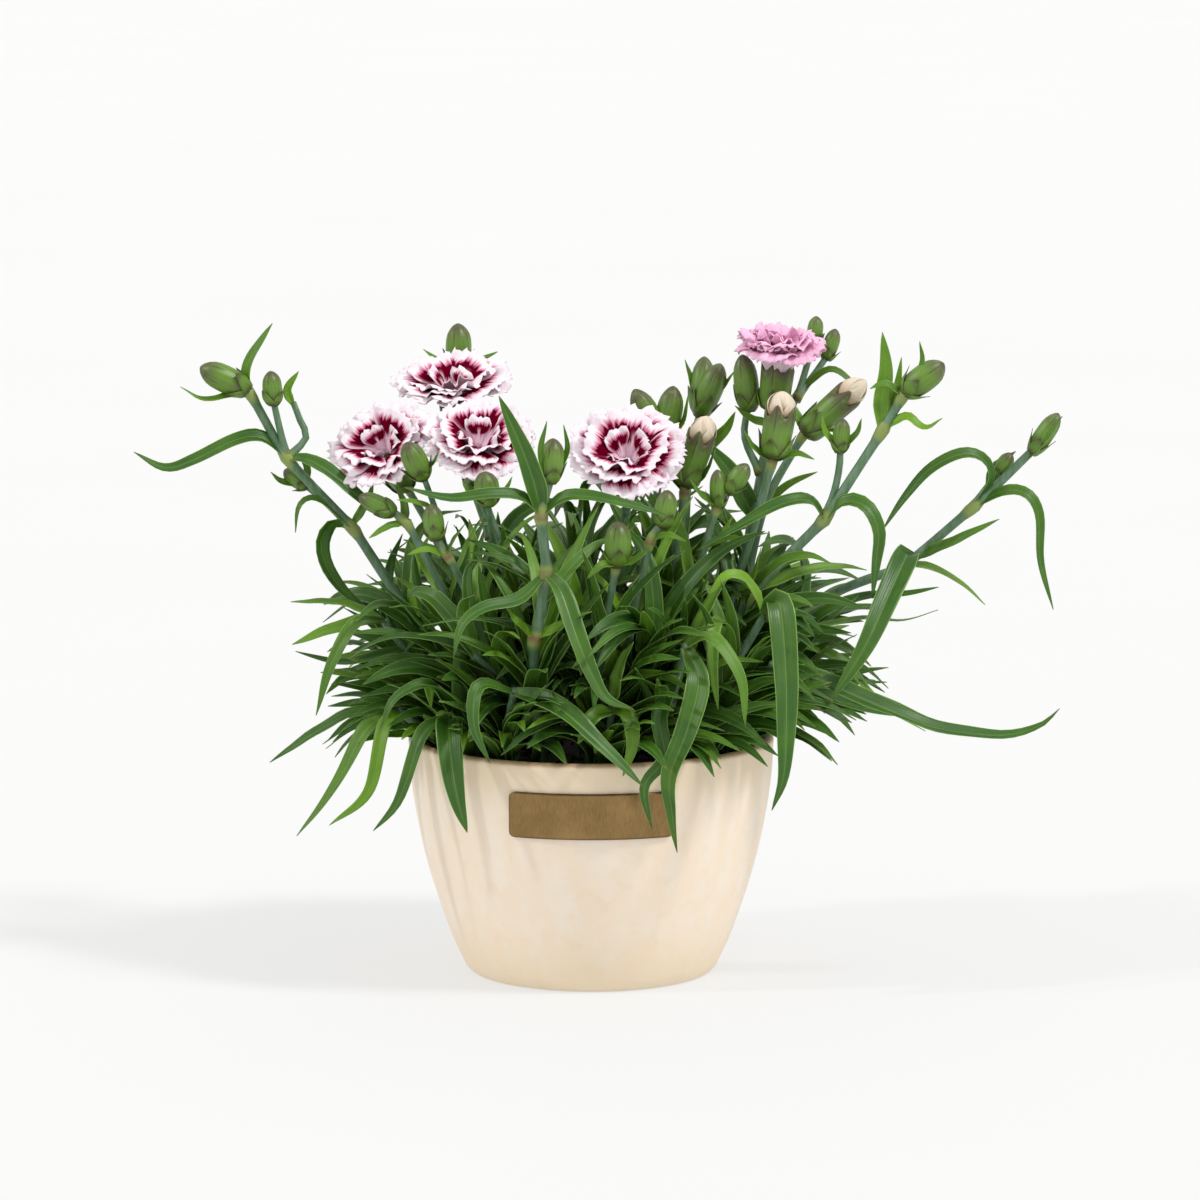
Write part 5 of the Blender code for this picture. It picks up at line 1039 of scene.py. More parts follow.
def sepal_marks(name):
    """The green of buds and flower tubes: pale ribs, brown purple at the foot and the tips, dark seams."""
    g, given, out = new_group(name, {"Green": (0.13, 0.27, 0.04), "Brown": (0.07, 0.03, 0.03),
                                     "Rib": (0.16, 0.28, 0.05)}, {"Brown share": 0.8})
    u, v, _, tint, _ = g.lie()
    cloud = g.field(*g.place(), 0.35, 3.0)
    colour = g.mixed(g.times(tint, 0.35), given["Green"], given["Rib"])
    ribs = g.scaled(g.math("SINE", g.times(u, 94.2)), 0.5, 0.5)
    colour = g.mixed(g.times(ribs, 0.28), colour, given["Rib"])
    ends = g.times(g.math("MAXIMUM", g.step(v, 0.4, 0.0), g.step(v, 0.52, 0.98)), g.step(cloud, 0.2, 0.55))
    colour = g.mixed(g.times(ends, given["Brown share"]), colour, given["Brown"])
    fifth = g.math("FRACT", g.times(u, 5.0))
    off_sepal = g.math("ABSOLUTE", g.math("SUBTRACT", fifth, 0.5))
    seam = g.times(g.step(off_sepal, 0.43, 0.5), g.step(v, 0.45, 0.7))
    g.feed(out["Color"], g.mixed(g.times(seam, 0.75), colour, given["Brown"]))
    g.feed(out["Height"], g.plus(g.math("SUBTRACT", g.times(ribs, 0.3), seam), cloud))
    return g.tree


def stem_marks(name):
    """Blue green stem with a waxy bloom, yellow green beside each joint and red brown on it."""
    g, given, out = new_group(name, {"Stem": (0.14, 0.24, 0.12), "Bloom": (0.13, 0.22, 0.14),
                                     "Beside joint": (0.22, 0.29, 0.07), "Joint": (0.22, 0.09, 0.06)}, {})
    _, _, _, tint, mark = g.lie()
    x, y, z = g.place()
    long = g.field(x, y, g.times(z, 0.25), 0.5, 3.0)
    colour = g.mixed(g.step(long, 0.35, 0.7), given["Stem"], given["Bloom"])
    colour = g.mixed(g.step(mark, 0.1, 0.6), colour, given["Beside joint"])
    patch = g.times(g.step(mark, 0.55, 0.95), g.step(tint, 0.1, 0.6), 0.8)
    g.feed(out["Color"], g.mixed(patch, colour, given["Joint"]))
    g.feed(out["Height"], long)
    return g.tree


def grain(name):
    """Streaks and clouds over a piece's own coordinates, drawn out along Z by the stretch."""
    g, given, out = new_group(name, {}, {"Scale": 0.3, "Stretch": 8.0, "Detail": 4.0}, ("Streak", "Cloud"))
    x, y, z = g.place()
    drawn = g.math("DIVIDE", z, given["Stretch"])
    g.feed(out["Streak"], g.field(x, y, drawn, given["Scale"], given["Detail"]))
    g.feed(out["Cloud"], g.field(x, y, z, g.times(given["Scale"], 0.12), given["Detail"]))
    return g.tree


def shared(make):
    """A shared group under its own name, built once."""
    name = make.__name__.replace("_", " ").capitalize()
    return bpy.data.node_groups.get(name) or make(name)


def surface(name, rough, **constants):
    """A material with its Principled shader's constant sockets set: its nodes and that shader."""
    made = bpy.data.materials.new(name)
    made.use_nodes = True
    shader = made.node_tree.nodes["Principled BSDF"]
    shader.inputs["Roughness"].default_value = rough
    for label, value in constants.items():
        shader.inputs[label.replace("_", " ")].default_value = value
    return made, Nodes(made.node_tree), shader


def marked(name, make, colours, rough, bump, values=None, **constants):
    """A material whose colour and relief come from a shared group."""
    found = bpy.data.materials.get(name)
    if found:
        return found
    made, g, shader = surface(name, rough, **constants)
    marks = g.add("Group", node_tree=shared(make))
    for label, value in (values or {}).items():
        marks.inputs[label].default_value = value
    for label, colour in colours.items():
        marks.inputs[label].default_value = (*colour, 1)
    g.feed(shader.inputs["Base Color"], marks.outputs["Color"])
    g.relief(shader, marks.outputs["Height"], 0.6, bump)
    return made


def leaf_finish():
    c = bpy.context.scene.dianthus_leaves
    colours = {"Old": c.old, "Young": c.young, "Edge": c.edge, "Underside": c.underside}
    return marked("leaf", blade_marks, colours, 0.38, 0.1, Subsurface_Weight=0.1,
                  Subsurface_Radius=(0.6, 1.0, 0.2), Subsurface_Scale=0.0012, Specular_IOR_Level=0.36)


def stem_finish():
    c = bpy.context.scene.dianthus_leaves
    return marked("stem", stem_marks, {"Stem": c.stem, "Joint": c.joint}, 0.5, 0.1)


def sepal_finish():
    return marked("sepal", sepal_marks, {"Green": bpy.context.scene.dianthus_leaves.sepal}, 0.42, 0.25)


def petal_finish(name, strength, pale, throat):
    c = bpy.context.scene.dianthus_blooms
    colours = {"Pale": pale, "Throat": throat, "Blotch": c.blotch, "Halo": c.halo}
    return marked(name, petal_marks, colours, 0.55, 0.12, {"Strength": strength}, Subsurface_Weight=0.06,
                  Subsurface_Radius=(1.0, 0.5, 0.6), Subsurface_Scale=0.0006, Specular_IOR_Level=0.0)


def pot_finish():
    c = bpy.context.scene.dianthus_pot
    made, g, shader = surface("cream_glaze", 0.5, Specular_IOR_Level=0.4)
    broad, _ = g.grain(0.14, 5.0, 6.0)
    fine, cloud = g.grain(1.5, 14.0, 4.0)
    z = g.place()[2]
    colour = g.mixed(g.step(broad, 0.36, 0.68), c.body, c.streak)
    colour = g.painted(colour, c.streak, fine, 0.4, 0.7, 0.5)
    colour = g.painted(colour, c.foot, cloud, 0.48, 0.74, 0.3)
    colour = g.painted(colour, c.foot, z, 30.0, 0.0, 0.6)
    colour = g.painted(colour, c.foot, g.plus(z, g.scaled(broad, 5.0, -2.5)), 72.0, 88.0, 0.6)
    colour = g.painted(colour, c.lip, g.plus(z, g.scaled(broad, 1.2, -0.6)), 91.2, 92.6, 0.75)
    colour = g.painted(colour, c.lip, fine, 0.68, 0.76, 0.1)
    g.feed(shader.inputs["Base Color"], colour)
    g.feed(shader.inputs["Roughness"], g.scaled(fine, 0.3, 0.34))
    g.relief(shader, fine, 0.3, 0.1)
    return made


def plate_finish():
    c = bpy.context.scene.dianthus_pot
    made, g, shader = surface("aged_brass", 0.4, Metallic=1.0)
    brushed, _ = g.grain(2.6, 90.0, 5.0)
    stain, cloud = g.grain(0.5, 2.0, 5.0)
    # mark is 1 at the plate's edge; below, it darkens the bevelled edge all round as painted shade.
    edge = g.attribute("mark")
    tone = g.plus(g.step(brushed, 0.0, 1.0), g.scaled(cloud, 1.6, -0.8))
    colour = g.painted(g.mixed(tone, c.brass_dark, c.brass), c.brass_dark, stain, 0.45, 0.7, 0.3)
    # Painted shade: the bevelled edge goes to near black brown.
    g.feed(shader.inputs["Base Color"], g.mixed(g.times(edge, 0.75), colour, (0.05, 0.03, 0.015)))
    g.feed(shader.inputs["Roughness"], g.scaled(edge, 0.2, g.scaled(brushed, 0.2, 0.24)))
    g.relief(shader, brushed, 0.15, 0.02)
    return made


def soil_finish():
    made, g, shader = surface("potting_mix", 0.95)
    crumbs, cloud = g.grain(0.9, 1.0, 6.0)
    colour = g.mixed(g.step(crumbs, 0.35, 0.7), (0.012, 0.008, 0.005), (0.06, 0.038, 0.022))
    g.feed(shader.inputs["Base Color"], g.painted(colour, (0.14, 0.1, 0.07), cloud, 0.6, 0.7, 0.3))
    g.relief(shader, crumbs, 0.9, 1.2)
    return made


def floor_finish():
    made, g, shader = surface("pale_floor", 0.8, Emission_Color=(1, 1, 0.99, 1), Emission_Strength=0.555,
                              Specular_IOR_Level=0.1)
    tone = bpy.context.scene.dianthus_stage.floor
    _, cloud = g.grain(0.02, 1.0, 4.0)
    g.feed(shader.inputs["Base Color"], g.mixed(cloud, tone, [0.94 * k for k in tone]))
    return made


def lathed(name, profile, sides):
    """A round piece: a disc drawn out ring by ring, each extruded from the last and resized about Z."""
    only()
    (z, r), *rest = profile
    bpy.ops.mesh.primitive_circle_add(vertices=sides, radius=r * MM, fill_type="NGON",
                                      location=(0, 0, z * MM))
    obj = bpy.context.object
    bpy.ops.object.mode_set(mode="EDIT")
    bpy.ops.mesh.select_all(action="SELECT")
    for height, radius in rest:
        bpy.ops.mesh.extrude_region_move(TRANSFORM_OT_translate={"value": (0, 0, (height - z) * MM)})
        bpy.ops.transform.resize(value=(radius / r, radius / r, 1), center_override=(0, 0, height * MM))
        z, r = height, radius
    bpy.ops.mesh.select_all(action="SELECT")
    bpy.ops.mesh.normals_make_consistent(inside=False)
    bpy.ops.object.mode_set(mode="OBJECT")
    bpy.ops.object.shade_smooth()
    return settle(obj, name)


def moved_points(obj, change):
    """Put each vertex of a piece where the change says, in millimetres."""
    co = np.empty(len(obj.data.vertices) * 3)
    obj.data.vertices.foreach_get("co", co)
    co = change(co.reshape(-1, 3) / MM) * MM
    obj.data.vertices.foreach_set("co", co.ravel())
    obj.data.update()


def grown():
    """The plan of the plant, found once, with the leaves that fill the tuft."""
    if not GROWN:
        plants, blooms, room = plan()
        GROWN.update(plants=plants, blooms=blooms)
        fill_tuft(plants, room)
    return GROWN["plants"], GROWN["blooms"]


def fill_leaves(rng, room, p, spots, long, wide, over=False, falls=(0.2, 0.75)):
    """Pairs of leaves at these spots of a stem, as close to their neighbours as they go without touching.
    Those that go over the rim all lean away from the pot's axis. Falls are the least and most that a leaf
    droops."""
    line = even(stem_line(p["line"], p["joints"]), STATIONS)
    ahead = unit(np.gradient(line, axis=0))
    made = []
    tries, shrink = (40, 0.008) if over else (16, 0.02)
    for spot in spots:
        k = int(spot * (STATIONS - 1))
        first, second = across_axes(ahead[k])
        turn = rng.uniform(0, 6)
        for half in (0, math.pi):
            for failed in range(tries):
                a = turn + half + rng.uniform(-0.8, 0.8)
                out = math.cos(a) * first + math.sin(a) * second
                if over:
                    a = math.atan2(line[k][1], line[k][0]) + rng.uniform(-0.9, 0.9)
                    out = np.array((math.cos(a), math.sin(a), 0.0))
                size = long * rng.uniform(0.7, 1.15) * (1 - shrink * failed)
                points = droop_leaf(rng, line[k], ahead[k], out, size, rng.uniform(*falls))
                if not inside_bush(points):
                    continue
                width, show = wide * rng.uniform(0.8, 1.2), rng.uniform(0.1, 0.7)
                cloud = leaf_cloud(points, width, show)
                free = cloud[np.linalg.norm(cloud - line[k], axis=1) > AT_FOOT]
                if room.touched(free, p["own"]) == 0:
                    made.append((width, show, points))
                    room.fill(cloud, p["own"])
                    break
    return made


def fill_tuft(plants, room):
    """More leaves between those of the frame: those over the rim first, then up every stem and shoot, and
    at last the upright ones that close the gaps."""
    c = bpy.context.scene.dianthus_leaves
    rng = random.Random(SEED + 1)
    for name, p in plants.items():
        p["fill"] = []
        if off_centre(p) > 0.5:
            spots = [0.3, 0.42, 0.54, 0.66, 0.76] if is_shoot(name) else [0.12, 0.2, 0.28]
            p["fill"] += fill_leaves(rng, room, p, spots, 96, 9.0, over=True)
    for name, p in sorted(plants.items()):
        spots, long = [0.14, 0.2, 0.27, 0.4], 68
        if is_shoot(name):
            spots = [0.22, 0.34, 0.44, 0.5, 0.58, 0.66, 0.74, 0.84, 0.92, 0.97]
            long = 94 - 10 * off_centre(p)
        p["fill"] += fill_leaves(rng, room, p, spots[:c.fill], long, 7.4)
    for name, p in sorted(plants.items()):
        if is_shoot(name):
            p["fill"] += fill_leaves(rng, room, p, [0.7, 0.8, 0.9, 0.96], 78, 6.4, falls=(0.04, 0.2))
        else:
            spots = [0.34, 0.4, 0.46, 0.52, 0.58, 0.64, 0.7]
            p["fill"] += fill_leaves(rng, room, p, spots, 60, 6.0, falls=(0.04, 0.28))


def leaves_of(p, rng):
    """Every leaf of a plant, laid on its own line."""
    c = bpy.context.scene.dianthus_leaves
    made = []
    for width, show, points in p["leaves"] + p["fill"]:
        long = length_of(points)
        blank = blank_of(8, 28) if width >= BROAD else blank_of(6, 26 if long > 60 else 16)
        low, high = (0.0, 0.62) if width >= BROAD or long > 75 else (0.0, 0.95) if long > 45 else (0.7, 1.0)
        tint, roll = rng.uniform(low, high), 0.5 if long > 60 else 0.2
        made.append(laid_leaf(blank, points, width, show, rng, tint, roll, c.thick / MM))
    return made


def blank_of(columns, rows):
    if (columns, rows) not in BLANKS:
        BLANKS[columns, rows] = Blank(columns, rows)
    return BLANKS[columns, rows]


def plant_shapes(name, p):
    """The stem, side branches, leaves, buds and flower tubes of one plant."""
    rng = random.Random(name)
    scale = blank_of(4, 8)
    line = stem_line(p["line"], p["joints"])
    made = [laid_stem(line, p["joints"], p["thick"], rng, 8 if is_shoot(name) else 12)]
    for extra in p["side"]:
        made.append(laid_stem(extra, [extra[0]], 0.72 * p["thick"], rng))
    made += leaves_of(p, rng)
    for radius, foot, tip in p["buds"]:
        made += laid_bud(scale, radius, foot, tip, rng)
    for stem, centre, axis, _, raised in BLOOMS.values():
        if stem == name:
            axis = unit(axis)
            foot, top = np.array(centre) - TUBE_FOOT * axis, np.array(centre) - TUBE_TOP * axis
            neck = [line[-1] - 3 * unit(line[-1] - line[-2]), (line[-1] + foot) / 2, foot + 1.5 * axis]
            made.append(laid_stem(neck, [foot], p["thick"] * 0.8, rng))
            made += laid_calyx(scale, foot, top, 6.4 if raised else 5.4, rng)
    for stem, foot, tip, radius in TIPS.values():
        if stem == name:
            foot, tip = np.array(foot, float), np.array(tip, float)
            made += laid_calyx(scale, foot, foot + TUBE_SHARE * (tip - foot), radius, rng, teeth=1.5)
    return made


def white_petals(name, rng):
    """Petals of a half double flower: the frame's own two rings, one between them, and a few small ones that
    stand folded in the middle."""
    bloom = BLOOMS[name]
    _, centre, axis, radius, _ = bloom
    first, second = across_axes(unit(axis))
    angles = []
    for rows, _ in grown()[1][name]:
        out = np.mean(rows[-1], axis=0) - np.array(centre)
        angles.append(math.atan2(out @ second, out @ first))
    between = [a + math.pi / 5 for a in angles[:5]]
    made, wide, small = [], blank_of(28, 14), blank_of(14, 8)
    rings = ((angles[:5], 0.98, 1.15, 4, 0.05), (between, 0.9, 1.12, 14, 0.06),
             (angles[5:], 0.76, 1.1, 30, 0.07))
    for ring, long, broad, lift, ruffle in rings:
        for a in ring:
            made.append(laid_petal(wide, bloom, a + rng.uniform(-0.12, 0.12),
                                   radius * long * rng.uniform(0.9, 1.03),
                                   radius * broad * rng.uniform(0.9, 1.08), lift + rng.uniform(-5, 7), rng,
                                   ruffle * rng.uniform(0.7, 1.4)))
    turn = rng.uniform(0, 6)
    for k in range(3):
        made.append(laid_petal(small, bloom, turn + k * 2.1, radius * rng.uniform(0.36, 0.5), radius * 0.55,
                               56, rng, 0.16, curl=30))
    return made


def pink_petals(name, rng):
    """Petals of the crumpled double flower: they fill the tube's mouth, lean out of it and fold over one
    another. The first rings are the lowest and reach out from nearest its rim."""
    bloom = BLOOMS[name]
    radius = bloom[3]
    made, wide = [], blank_of(28, 14)
    rings = ((6, 1.0, 36, 0.05, 46, 96, 4.4), (6, 1.03, 50, 0.06, 34, 90, 3.8),
             (6, 1.02, 62, 0.07, 22, 76, 3.0), (6, 0.96, 73, 0.08, 12, 62, 2.0),
             (5, 0.92, 82, 0.09, 4, 50, 0.9))
    for count, long, lift, ruffle, stand, curl, mouth in rings:
        turn = rng.uniform(0, 6)
        for k in range(count):
            made.append(laid_petal(wide, bloom, turn + 2 * math.pi * (k + rng.uniform(-0.2, 0.2)) / count,
                                   radius * long * rng.uniform(0.86, 1.08), radius * 1.15,
                                   lift + rng.uniform(-8, 8), rng, ruffle, curl=curl, stand=stand,
                                   claw=(mouth, 0.3), sunk=8.5))
    return made


def tip_shapes(foot, tip, radius, rng):
    """The furled petals that stand out of a closed flower: a ridged spiral drawn to a soft point."""
    foot, tip = np.array(foot, float), np.array(tip, float)
    long = np.linalg.norm(tip - foot)
    cup = TUBE_SHARE * long
    t = np.array([0, 0.08, 0.2, 0.32, 0.44, 0.56, 0.67, 0.77, 0.86, 0.93, 0.975, 1.0])
    z = (cup - 2.9) + t * (long - cup + 2.9)
    r = radius * np.array([0.5, 0.64, 0.76, 0.82, 0.84, 0.82, 0.76, 0.66, 0.52, 0.36, 0.2, 0.06])
    lobes = 0.13 * np.sin(np.clip(t * 1.2, 0, 1) * math.pi) + 0.02
    made = [skin(about(foot, tip - foot, z, r, 40, lobes=lobes, twist=3.4 * t), t, rng.random(), 0.0, 0)]
    return made + bracts(blank_of(6, 10), foot, tip - foot, z, r + 0.1, rng, 0, count=5, long=0.9, flare=-0.4)


def colour(label, default, note):
    return FloatVectorProperty(name=label, description=note, default=default, subtype="COLOR", size=3, min=0,
                               max=1)


def strength(label, default, note):
    return FloatProperty(name=label, description=note, default=default, min=0)


class DianthusPot(bpy.types.PropertyGroup):
    sides: IntProperty(name="Sides", description="Facets round the pot", default=128, min=32, max=256)
    body: colour("Body", (0.86, 0.71, 0.55), "Cream of the wall")
    streak: colour("Streaks", (0.85, 0.75, 0.62), "Paler upright streaks in the glaze")
    lip: colour("Lip", (0.42, 0.25, 0.11), "Tan of the worn lip")
    foot: colour("Foot", (0.79, 0.635, 0.42), "Darker cream near the foot and under the lip")
    brass: colour("Brass", (0.34, 0.22, 0.09), "Bright tone of the plate")
    brass_dark: colour("Dark brass", (0.2, 0.125, 0.05), "Tarnished tone of the plate")
    crumbs: IntProperty(name="Crumbs", description="Loose crumbs on the soil", default=160, min=0, max=400)


class DianthusLeaves(bpy.types.PropertyGroup):
    old: colour("Grown", (0.03, 0.1, 0.007), "Deep green of a grown leaf")
    young: colour("Young", (0.15, 0.31, 0.01), "Yellow green of a young leaf")
    # Edge also lights up each leaf's rim, partly as a painted highlight of light shining through the edge.
    edge: colour("Edge", (0.27, 0.44, 0.12), "Pale rim, midrib and veins")
    underside: colour("Underside", (0.05, 0.13, 0.012), "Greyer green of the underside")
    stem: colour("Stem", (0.075, 0.16, 0.06), "Green of the stems")
    joint: colour("Joint", (0.2, 0.08, 0.045), "Red brown of the swollen joints")
    sepal: colour("Bud", (0.1, 0.21, 0.012), "Green of the buds and flower tubes")
    thick: FloatProperty(name="Thickness", description="Thickness of a leaf at its middle", default=0.0006,
                         min=0, subtype="DISTANCE", unit="LENGTH")
    fill: IntProperty(name="Filling", description="More pairs of leaves a shoot", default=10, min=0, max=10)


class DianthusBlooms(bpy.types.PropertyGroup):
    pale: colour("Petal", (0.87, 0.77, 0.82), "White of the outer petals")
    throat: colour("Throat", (0.86, 0.64, 0.74), "Pink flush of the throat")
    blotch: colour("Blotch", (0.115, 0.0, 0.012), "Dark crimson of the blotch")
    halo: colour("Halo", (0.5, 0.006, 0.13), "Magenta round the blotch")
    pink: colour("Pink petal", (0.86, 0.5, 0.68), "Pink of the crumpled flower")
    tip: colour("Furled petal", (0.72, 0.62, 0.49), "Cream of the furled petals")


class DianthusStage(bpy.types.PropertyGroup):
    floor: colour("Floor", (0.3, 0.3, 0.3), "Tone that the pale lit floor shades towards")
    sky: strength("Ambient", 0.83, "Strength of the even light")
    key: strength("Key", 1.65, "Strength of the main light")
    fill: strength("Fill", 0.75, "Strength of the weak light")


class DIANTHUS_OT_pot(bpy.types.Operator):
    """Throw the pot: a disc drawn up into a flaring wall with a rounded lip, then down inside to the floor"""
    bl_idname = "dianthus.pot"
    bl_label = "Pot"

    def execute(self, context):
        c = context.scene.dianthus_pot
        foot = [(0.0, 30.0), (0.0, 46.0), (0.25, 46.9), (0.8, 47.8)]
        wall = [(z, r) for _, z, r in spline([(0, z, r) for r, z in POT_OUTER[2:]], 26)]
        lip = [(z, r) for r, z in POT_LIP]
        inner = [(z, inner_radius(z)) for z in (88.0, 80.0, 64.0, 46.0, 29.0, 7.0)]
        floor = [(POT_FLOOR, 45.5), (POT_FLOOR, 20.0)]
        obj = lathed("round_pot", foot + wall + lip + inner + floor, c.sides)
        obj.data.materials.append(pot_finish())
        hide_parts("pot")
        return {"FINISHED"}


class DIANTHUS_OT_plate(bpy.types.Operator):
    """Cut the plate: a bevelled strip with round corners, bent to the front of the pot"""
    bl_idname = "dianthus.plate"
    bl_label = "Plate"

    def execute(self, context):
        only()
        high, thick = PLATE_HIGH - PLATE_LOW, PLATE_THICK
        bpy.ops.mesh.primitive_cube_add(size=1)
        obj = context.object
        obj.scale = (2 * PLATE_HALF_WIDTH, thick, high)
        bpy.ops.object.transform_apply(location=False, rotation=False, scale=True)
        bpy.ops.object.mode_set(mode="EDIT")
        edges = bmesh.from_edit_mesh(obj.data)
        bpy.ops.mesh.select_all(action="DESELECT")
        for e in edges.edges:
            a, b = e.verts
            e.select = abs(a.co.y - b.co.y) > thick / 2
        bmesh.update_edit_mesh(obj.data)
        bpy.ops.mesh.bevel(offset=PLATE_CORNER, segments=6, profile=0.5)
        edges = bmesh.from_edit_mesh(obj.data)
        for f in edges.faces:
            f.select = f.normal.y < -0.9
        bmesh.update_edit_mesh(obj.data)
        bpy.ops.mesh.inset(thickness=0.5, depth=0.0)
        bpy.ops.mesh.inset(thickness=0.45, depth=0.0)
        edges = bmesh.from_edit_mesh(obj.data)
        for v in edges.verts:
            gap = min(PLATE_HALF_WIDTH - abs(v.co.x), high / 2 - abs(v.co.z))
            if v.co.y < 0 and gap < 0.2:
                v.co.y += 0.45
        bmesh.update_edit_mesh(obj.data)
        for k in range(1, PLATE_BANDS):
            bpy.ops.mesh.select_all(action="SELECT")
            x = -PLATE_HALF_WIDTH + k * 2 * PLATE_HALF_WIDTH / PLATE_BANDS
            bpy.ops.mesh.bisect(plane_co=(x, 0, 0), plane_no=(1, 0, 0))
        bpy.ops.mesh.select_all(action="SELECT")
        bpy.ops.mesh.normals_make_consistent(inside=False)
        bpy.ops.object.mode_set(mode="OBJECT")
        co = np.array([v.co for v in obj.data.vertices])
        # mark: 1 at the plate's edge, fading over 0.8 mm, where its finish paints shade on the bevel.
        gap = np.minimum(PLATE_HALF_WIDTH - abs(co[:, 0]), high / 2 - abs(co[:, 2]))
        edge = obj.data.attributes.new("mark", "FLOAT", "POINT")
        edge.data.foreach_set("value", np.clip(1 - gap / 0.8, 0, 1).astype(np.float32))
        z = co[:, 2] + (PLATE_LOW + PLATE_HIGH) / 2
        inner = np.array([pot_radius(h) for h in z]) + GAP
        angle = np.arcsin(co[:, 0] / (inner + thick))
        r = inner + thick / 2 - co[:, 1]
        bent = np.stack([r * np.sin(angle), -r * np.cos(angle), z], axis=1) * MM
        obj.data.vertices.foreach_set("co", bent.ravel())
        bpy.ops.object.shade_smooth_by_angle(angle=math.radians(30))
        settle(obj, "bare_plate")
        obj.data.materials.append(plate_finish())
        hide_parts("nameplate")
        return {"FINISHED"}


class DIANTHUS_OT_soil(bpy.types.Operator):
    """Fill the pot with lumpy soil and loose crumbs"""
    bl_idname = "dianthus.soil"
    bl_label = "Soil"

    def execute(self, context):
        rng = random.Random(SEED + 2)
        low = POT_FLOOR + GAP
        heights = (7.4, *POT_INSIDE[:3], SOIL_TOP - 1)
        wall = [(low, 44.8)] + [(z, inner_radius(z) - 1.7 * GAP) for z in heights]
        top = [(SOIL_TOP, r) for r in np.linspace(wall[-1][1] - 1, 2, 22)]
        obj = lathed("soil_fill", wall + top, 96)

        def lumps(co):
            r = np.hypot(co[:, 0], co[:, 1])
            up = np.array([noise.fractal(Vector(p) * 0.11, 1.0, 2.0, 4) for p in co.tolist()])
            on_top = co[:, 2] > SOIL_TOP - 0.5
            dome = SOIL_DOME * (1 - (r / SOIL_RADIUS) ** 2)
            co[:, 2] += np.where(on_top, dome + 1.3 * up, 0)
            return co

        moved_points(obj, lumps)
        obj.data.materials.append(soil_finish())
        crumbs = []
        for _ in range(context.scene.dianthus_pot.crumbs):
            r, a = 61 * math.sqrt(rng.random()), rng.uniform(0, 2 * math.pi)
            x, y, size = r * math.cos(a), r * math.sin(a), rng.uniform(0.6, 1.7)
            crumbs.append((x, y, soil_height(x, y) + 0.6, size))
        scatter(obj, crumbs, rng)
        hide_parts("soil")
        return {"FINISHED"}


def scatter(ground, places, rng):
    """One crumb modelled, then copied into the ground's mesh at each place, each copy turned and squashed."""
    only()
    bpy.ops.mesh.primitive_ico_sphere_add(subdivisions=1, radius=1)
    crumb = bpy.context.object
    form = np.array([v.co for v in crumb.data.vertices])
    faces = np.array([list(f.vertices) for f in crumb.data.polygons])
    bpy.data.objects.remove(crumb)
    points, tris = [], []
    for x, y, z, size in places:
        ways = np.array([[rng.gauss(0, 1) for _ in range(3)] for _ in range(3)])
        turn, _ = np.linalg.qr(ways)
        turn[:, 0] *= np.sign(np.linalg.det(turn))
        stretch = np.array([rng.uniform(0.6, 1.3) for _ in range(3)])
        tris.append(faces + len(points) * len(form))
        points.append((form * [[rng.uniform(0.8, 1.2)] for _ in form] * stretch) @ turn.T * size + (x, y, z))
    bm = bmesh.new()
    bm.from_mesh(ground.data)
    made = [bm.verts.new(p * MM) for p in np.vstack(points)]
    for t in np.vstack(tris):
        bm.faces.new([made[k] for k in t])
    bm.to_mesh(ground.data)
    bm.free()


class DIANTHUS_OT_foliage(bpy.types.Operator):
    """Grow every stem and shoot with its leaves, buds and flower tubes"""
    bl_idname = "dianthus.foliage"
    bl_label = "Foliage"

    def execute(self, context):
        finishes = [leaf_finish(), stem_finish(), sepal_finish()]
        for name, p in grown()[0].items():
            joined(name + "_grown", plant_shapes(name, p), finishes, name)
        return {"FINISHED"}


class DIANTHUS_OT_blooms(bpy.types.Operator):
    """Open the flowers, petal by petal"""
    bl_idname = "dianthus.blooms"
    bl_label = "Flowers"

    def execute(self, context):
        c = context.scene.dianthus_blooms
        white = petal_finish("blotched_petal", 1.0, c.pale, c.throat)
        pink = petal_finish("pink_petal", 0.35, c.pink, (0.85, 0.68, 0.76))
        for name in BLOOMS:
            rng = random.Random(name)
            if name.endswith("pink"):
                joined(name + "_open", pink_petals(name, rng), [pink], name)
            else:
                joined(name + "_open", white_petals(name, rng), [white], name)
        return {"FINISHED"}


class DIANTHUS_OT_tips(bpy.types.Operator):
    """Furl the cream petals that show above the closed flowers"""
    bl_idname = "dianthus.tips"
    bl_label = "Furled petals"

    def execute(self, context):
        finish = petal_finish("furled_petal", 0.0, context.scene.dianthus_blooms.tip, (0.55, 0.4, 0.27))
        for name, (_, foot, tip, radius) in TIPS.items():
            shapes = tip_shapes(foot, tip, radius, random.Random(name))
            joined(name + "_furled", shapes, [finish], name)
        return {"FINISHED"}


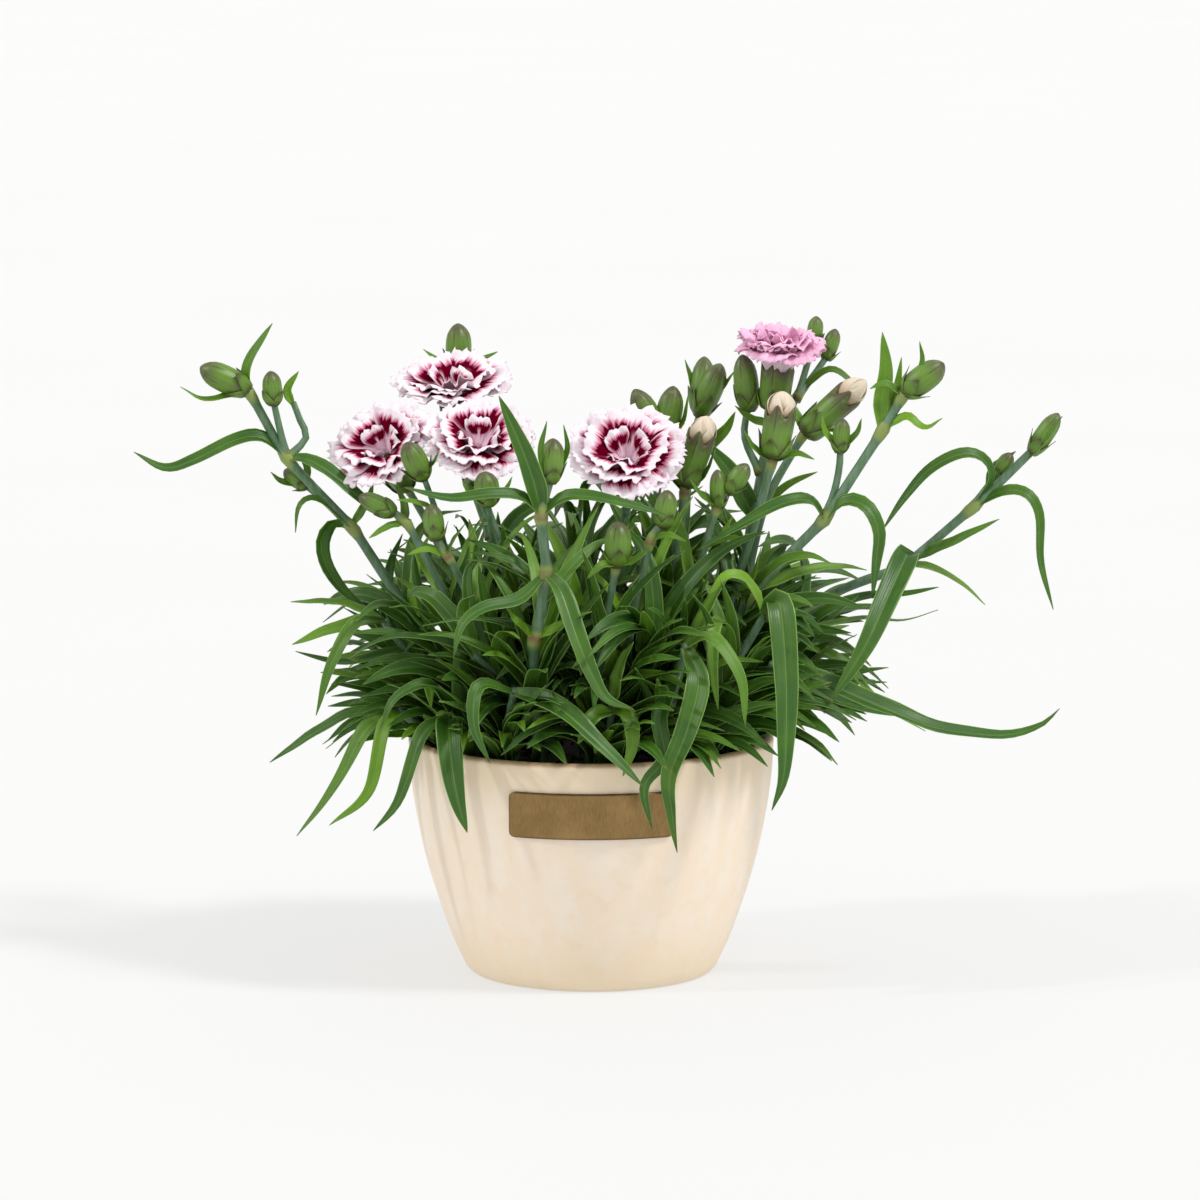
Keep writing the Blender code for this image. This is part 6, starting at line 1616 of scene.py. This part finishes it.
class DIANTHUS_OT_stage(bpy.types.Operator):
    """Lay the pale floor and set the soft lights and the camera"""
    bl_idname = "dianthus.stage"
    bl_label = "Stage"

    def execute(self, context):
        c = context.scene.dianthus_stage
        only()
        bpy.ops.mesh.primitive_circle_add(vertices=64, radius=40, fill_type="NGON")
        floor = context.object
        bpy.ops.object.mode_set(mode="EDIT")
        bpy.ops.mesh.inset(thickness=39, depth=0)
        bpy.ops.object.mode_set(mode="OBJECT")
        floor.name = "floor"
        floor.data.materials.append(floor_finish())
        world = bpy.data.worlds.new("studio")
        context.scene.world = world
        world.use_nodes = True
        g = Nodes(world.node_tree)
        g.tree.nodes.clear()
        seen = g.add("Background", {0: (0.97, 0.975, 0.975, 1), 1: 1.0})
        light = g.add("Background", {0: (1, 1, 1, 1), 1: c.sky})
        ray = g.add("LightPath").outputs["Is Camera Ray"]
        both = g.add("MixShader", {0: ray, 1: light.outputs[0], 2: seen.outputs[0]})
        g.add("OutputWorld", {0: both.outputs[0]})
        lamp("key", (0.75, -0.4, 1.0), c.key, 10)
        lamp("fill", (-1.0, -0.35, 0.8), c.fill, 3)
        bpy.ops.object.camera_add(location=(0, -2.16, 0.459), rotation=(math.radians(81.75), 0, -0.0016))
        camera = context.object
        camera.name = "camera"
        camera.data.lens, camera.data.sensor_width = 168, 36
        camera.data.clip_end = 100
        context.scene.camera = camera
        context.scene.view_settings.view_transform = "Standard"
        return {"FINISHED"}


def lamp(name, place, strength, spread):
    """A distant soft lamp that shines from this side. Spread is the angle of its face in degrees."""
    data = bpy.data.lights.new(name, "SUN")
    data.energy, data.angle = strength, math.radians(spread)
    obj = bpy.data.objects.new(name, data)
    bpy.context.scene.collection.objects.link(obj)
    obj.location = place
    obj.rotation_euler = Vector(place).to_track_quat("Z", "Y").to_euler()
    return obj


class DIANTHUS_PT_panel(bpy.types.Panel):
    bl_idname = "DIANTHUS_PT_panel"
    bl_label = "Potted Dianthus"
    bl_space_type = "VIEW_3D"
    bl_region_type = "UI"
    bl_category = "Dianthus"

    def draw(self, context):
        for step in STEPS:
            self.layout.operator(step.bl_idname)
        for group in GROUPS:
            settings = getattr(context.scene, group)
            for key in settings.__annotations__:
                self.layout.prop(settings, key)


GROUPS = {"dianthus_pot": DianthusPot, "dianthus_leaves": DianthusLeaves, "dianthus_blooms": DianthusBlooms,
          "dianthus_stage": DianthusStage}
STEPS = (DIANTHUS_OT_pot, DIANTHUS_OT_plate, DIANTHUS_OT_soil, DIANTHUS_OT_foliage, DIANTHUS_OT_blooms,
         DIANTHUS_OT_tips, DIANTHUS_OT_stage)


def register():
    for made in (*GROUPS.values(), *STEPS, DIANTHUS_PT_panel):
        bpy.utils.register_class(made)
    for label, made in GROUPS.items():
        setattr(bpy.types.Scene, label, PointerProperty(type=made))


def unregister():
    for label in GROUPS:
        delattr(bpy.types.Scene, label)
    for made in (DIANTHUS_PT_panel, *STEPS, *GROUPS.values()):
        bpy.utils.unregister_class(made)


def main():
    register()
    for step in (bpy.ops.dianthus.pot, bpy.ops.dianthus.plate, bpy.ops.dianthus.soil,
                 bpy.ops.dianthus.foliage, bpy.ops.dianthus.blooms, bpy.ops.dianthus.tips,
                 bpy.ops.dianthus.stage):
        step()


if __name__ == "__main__":
    main()
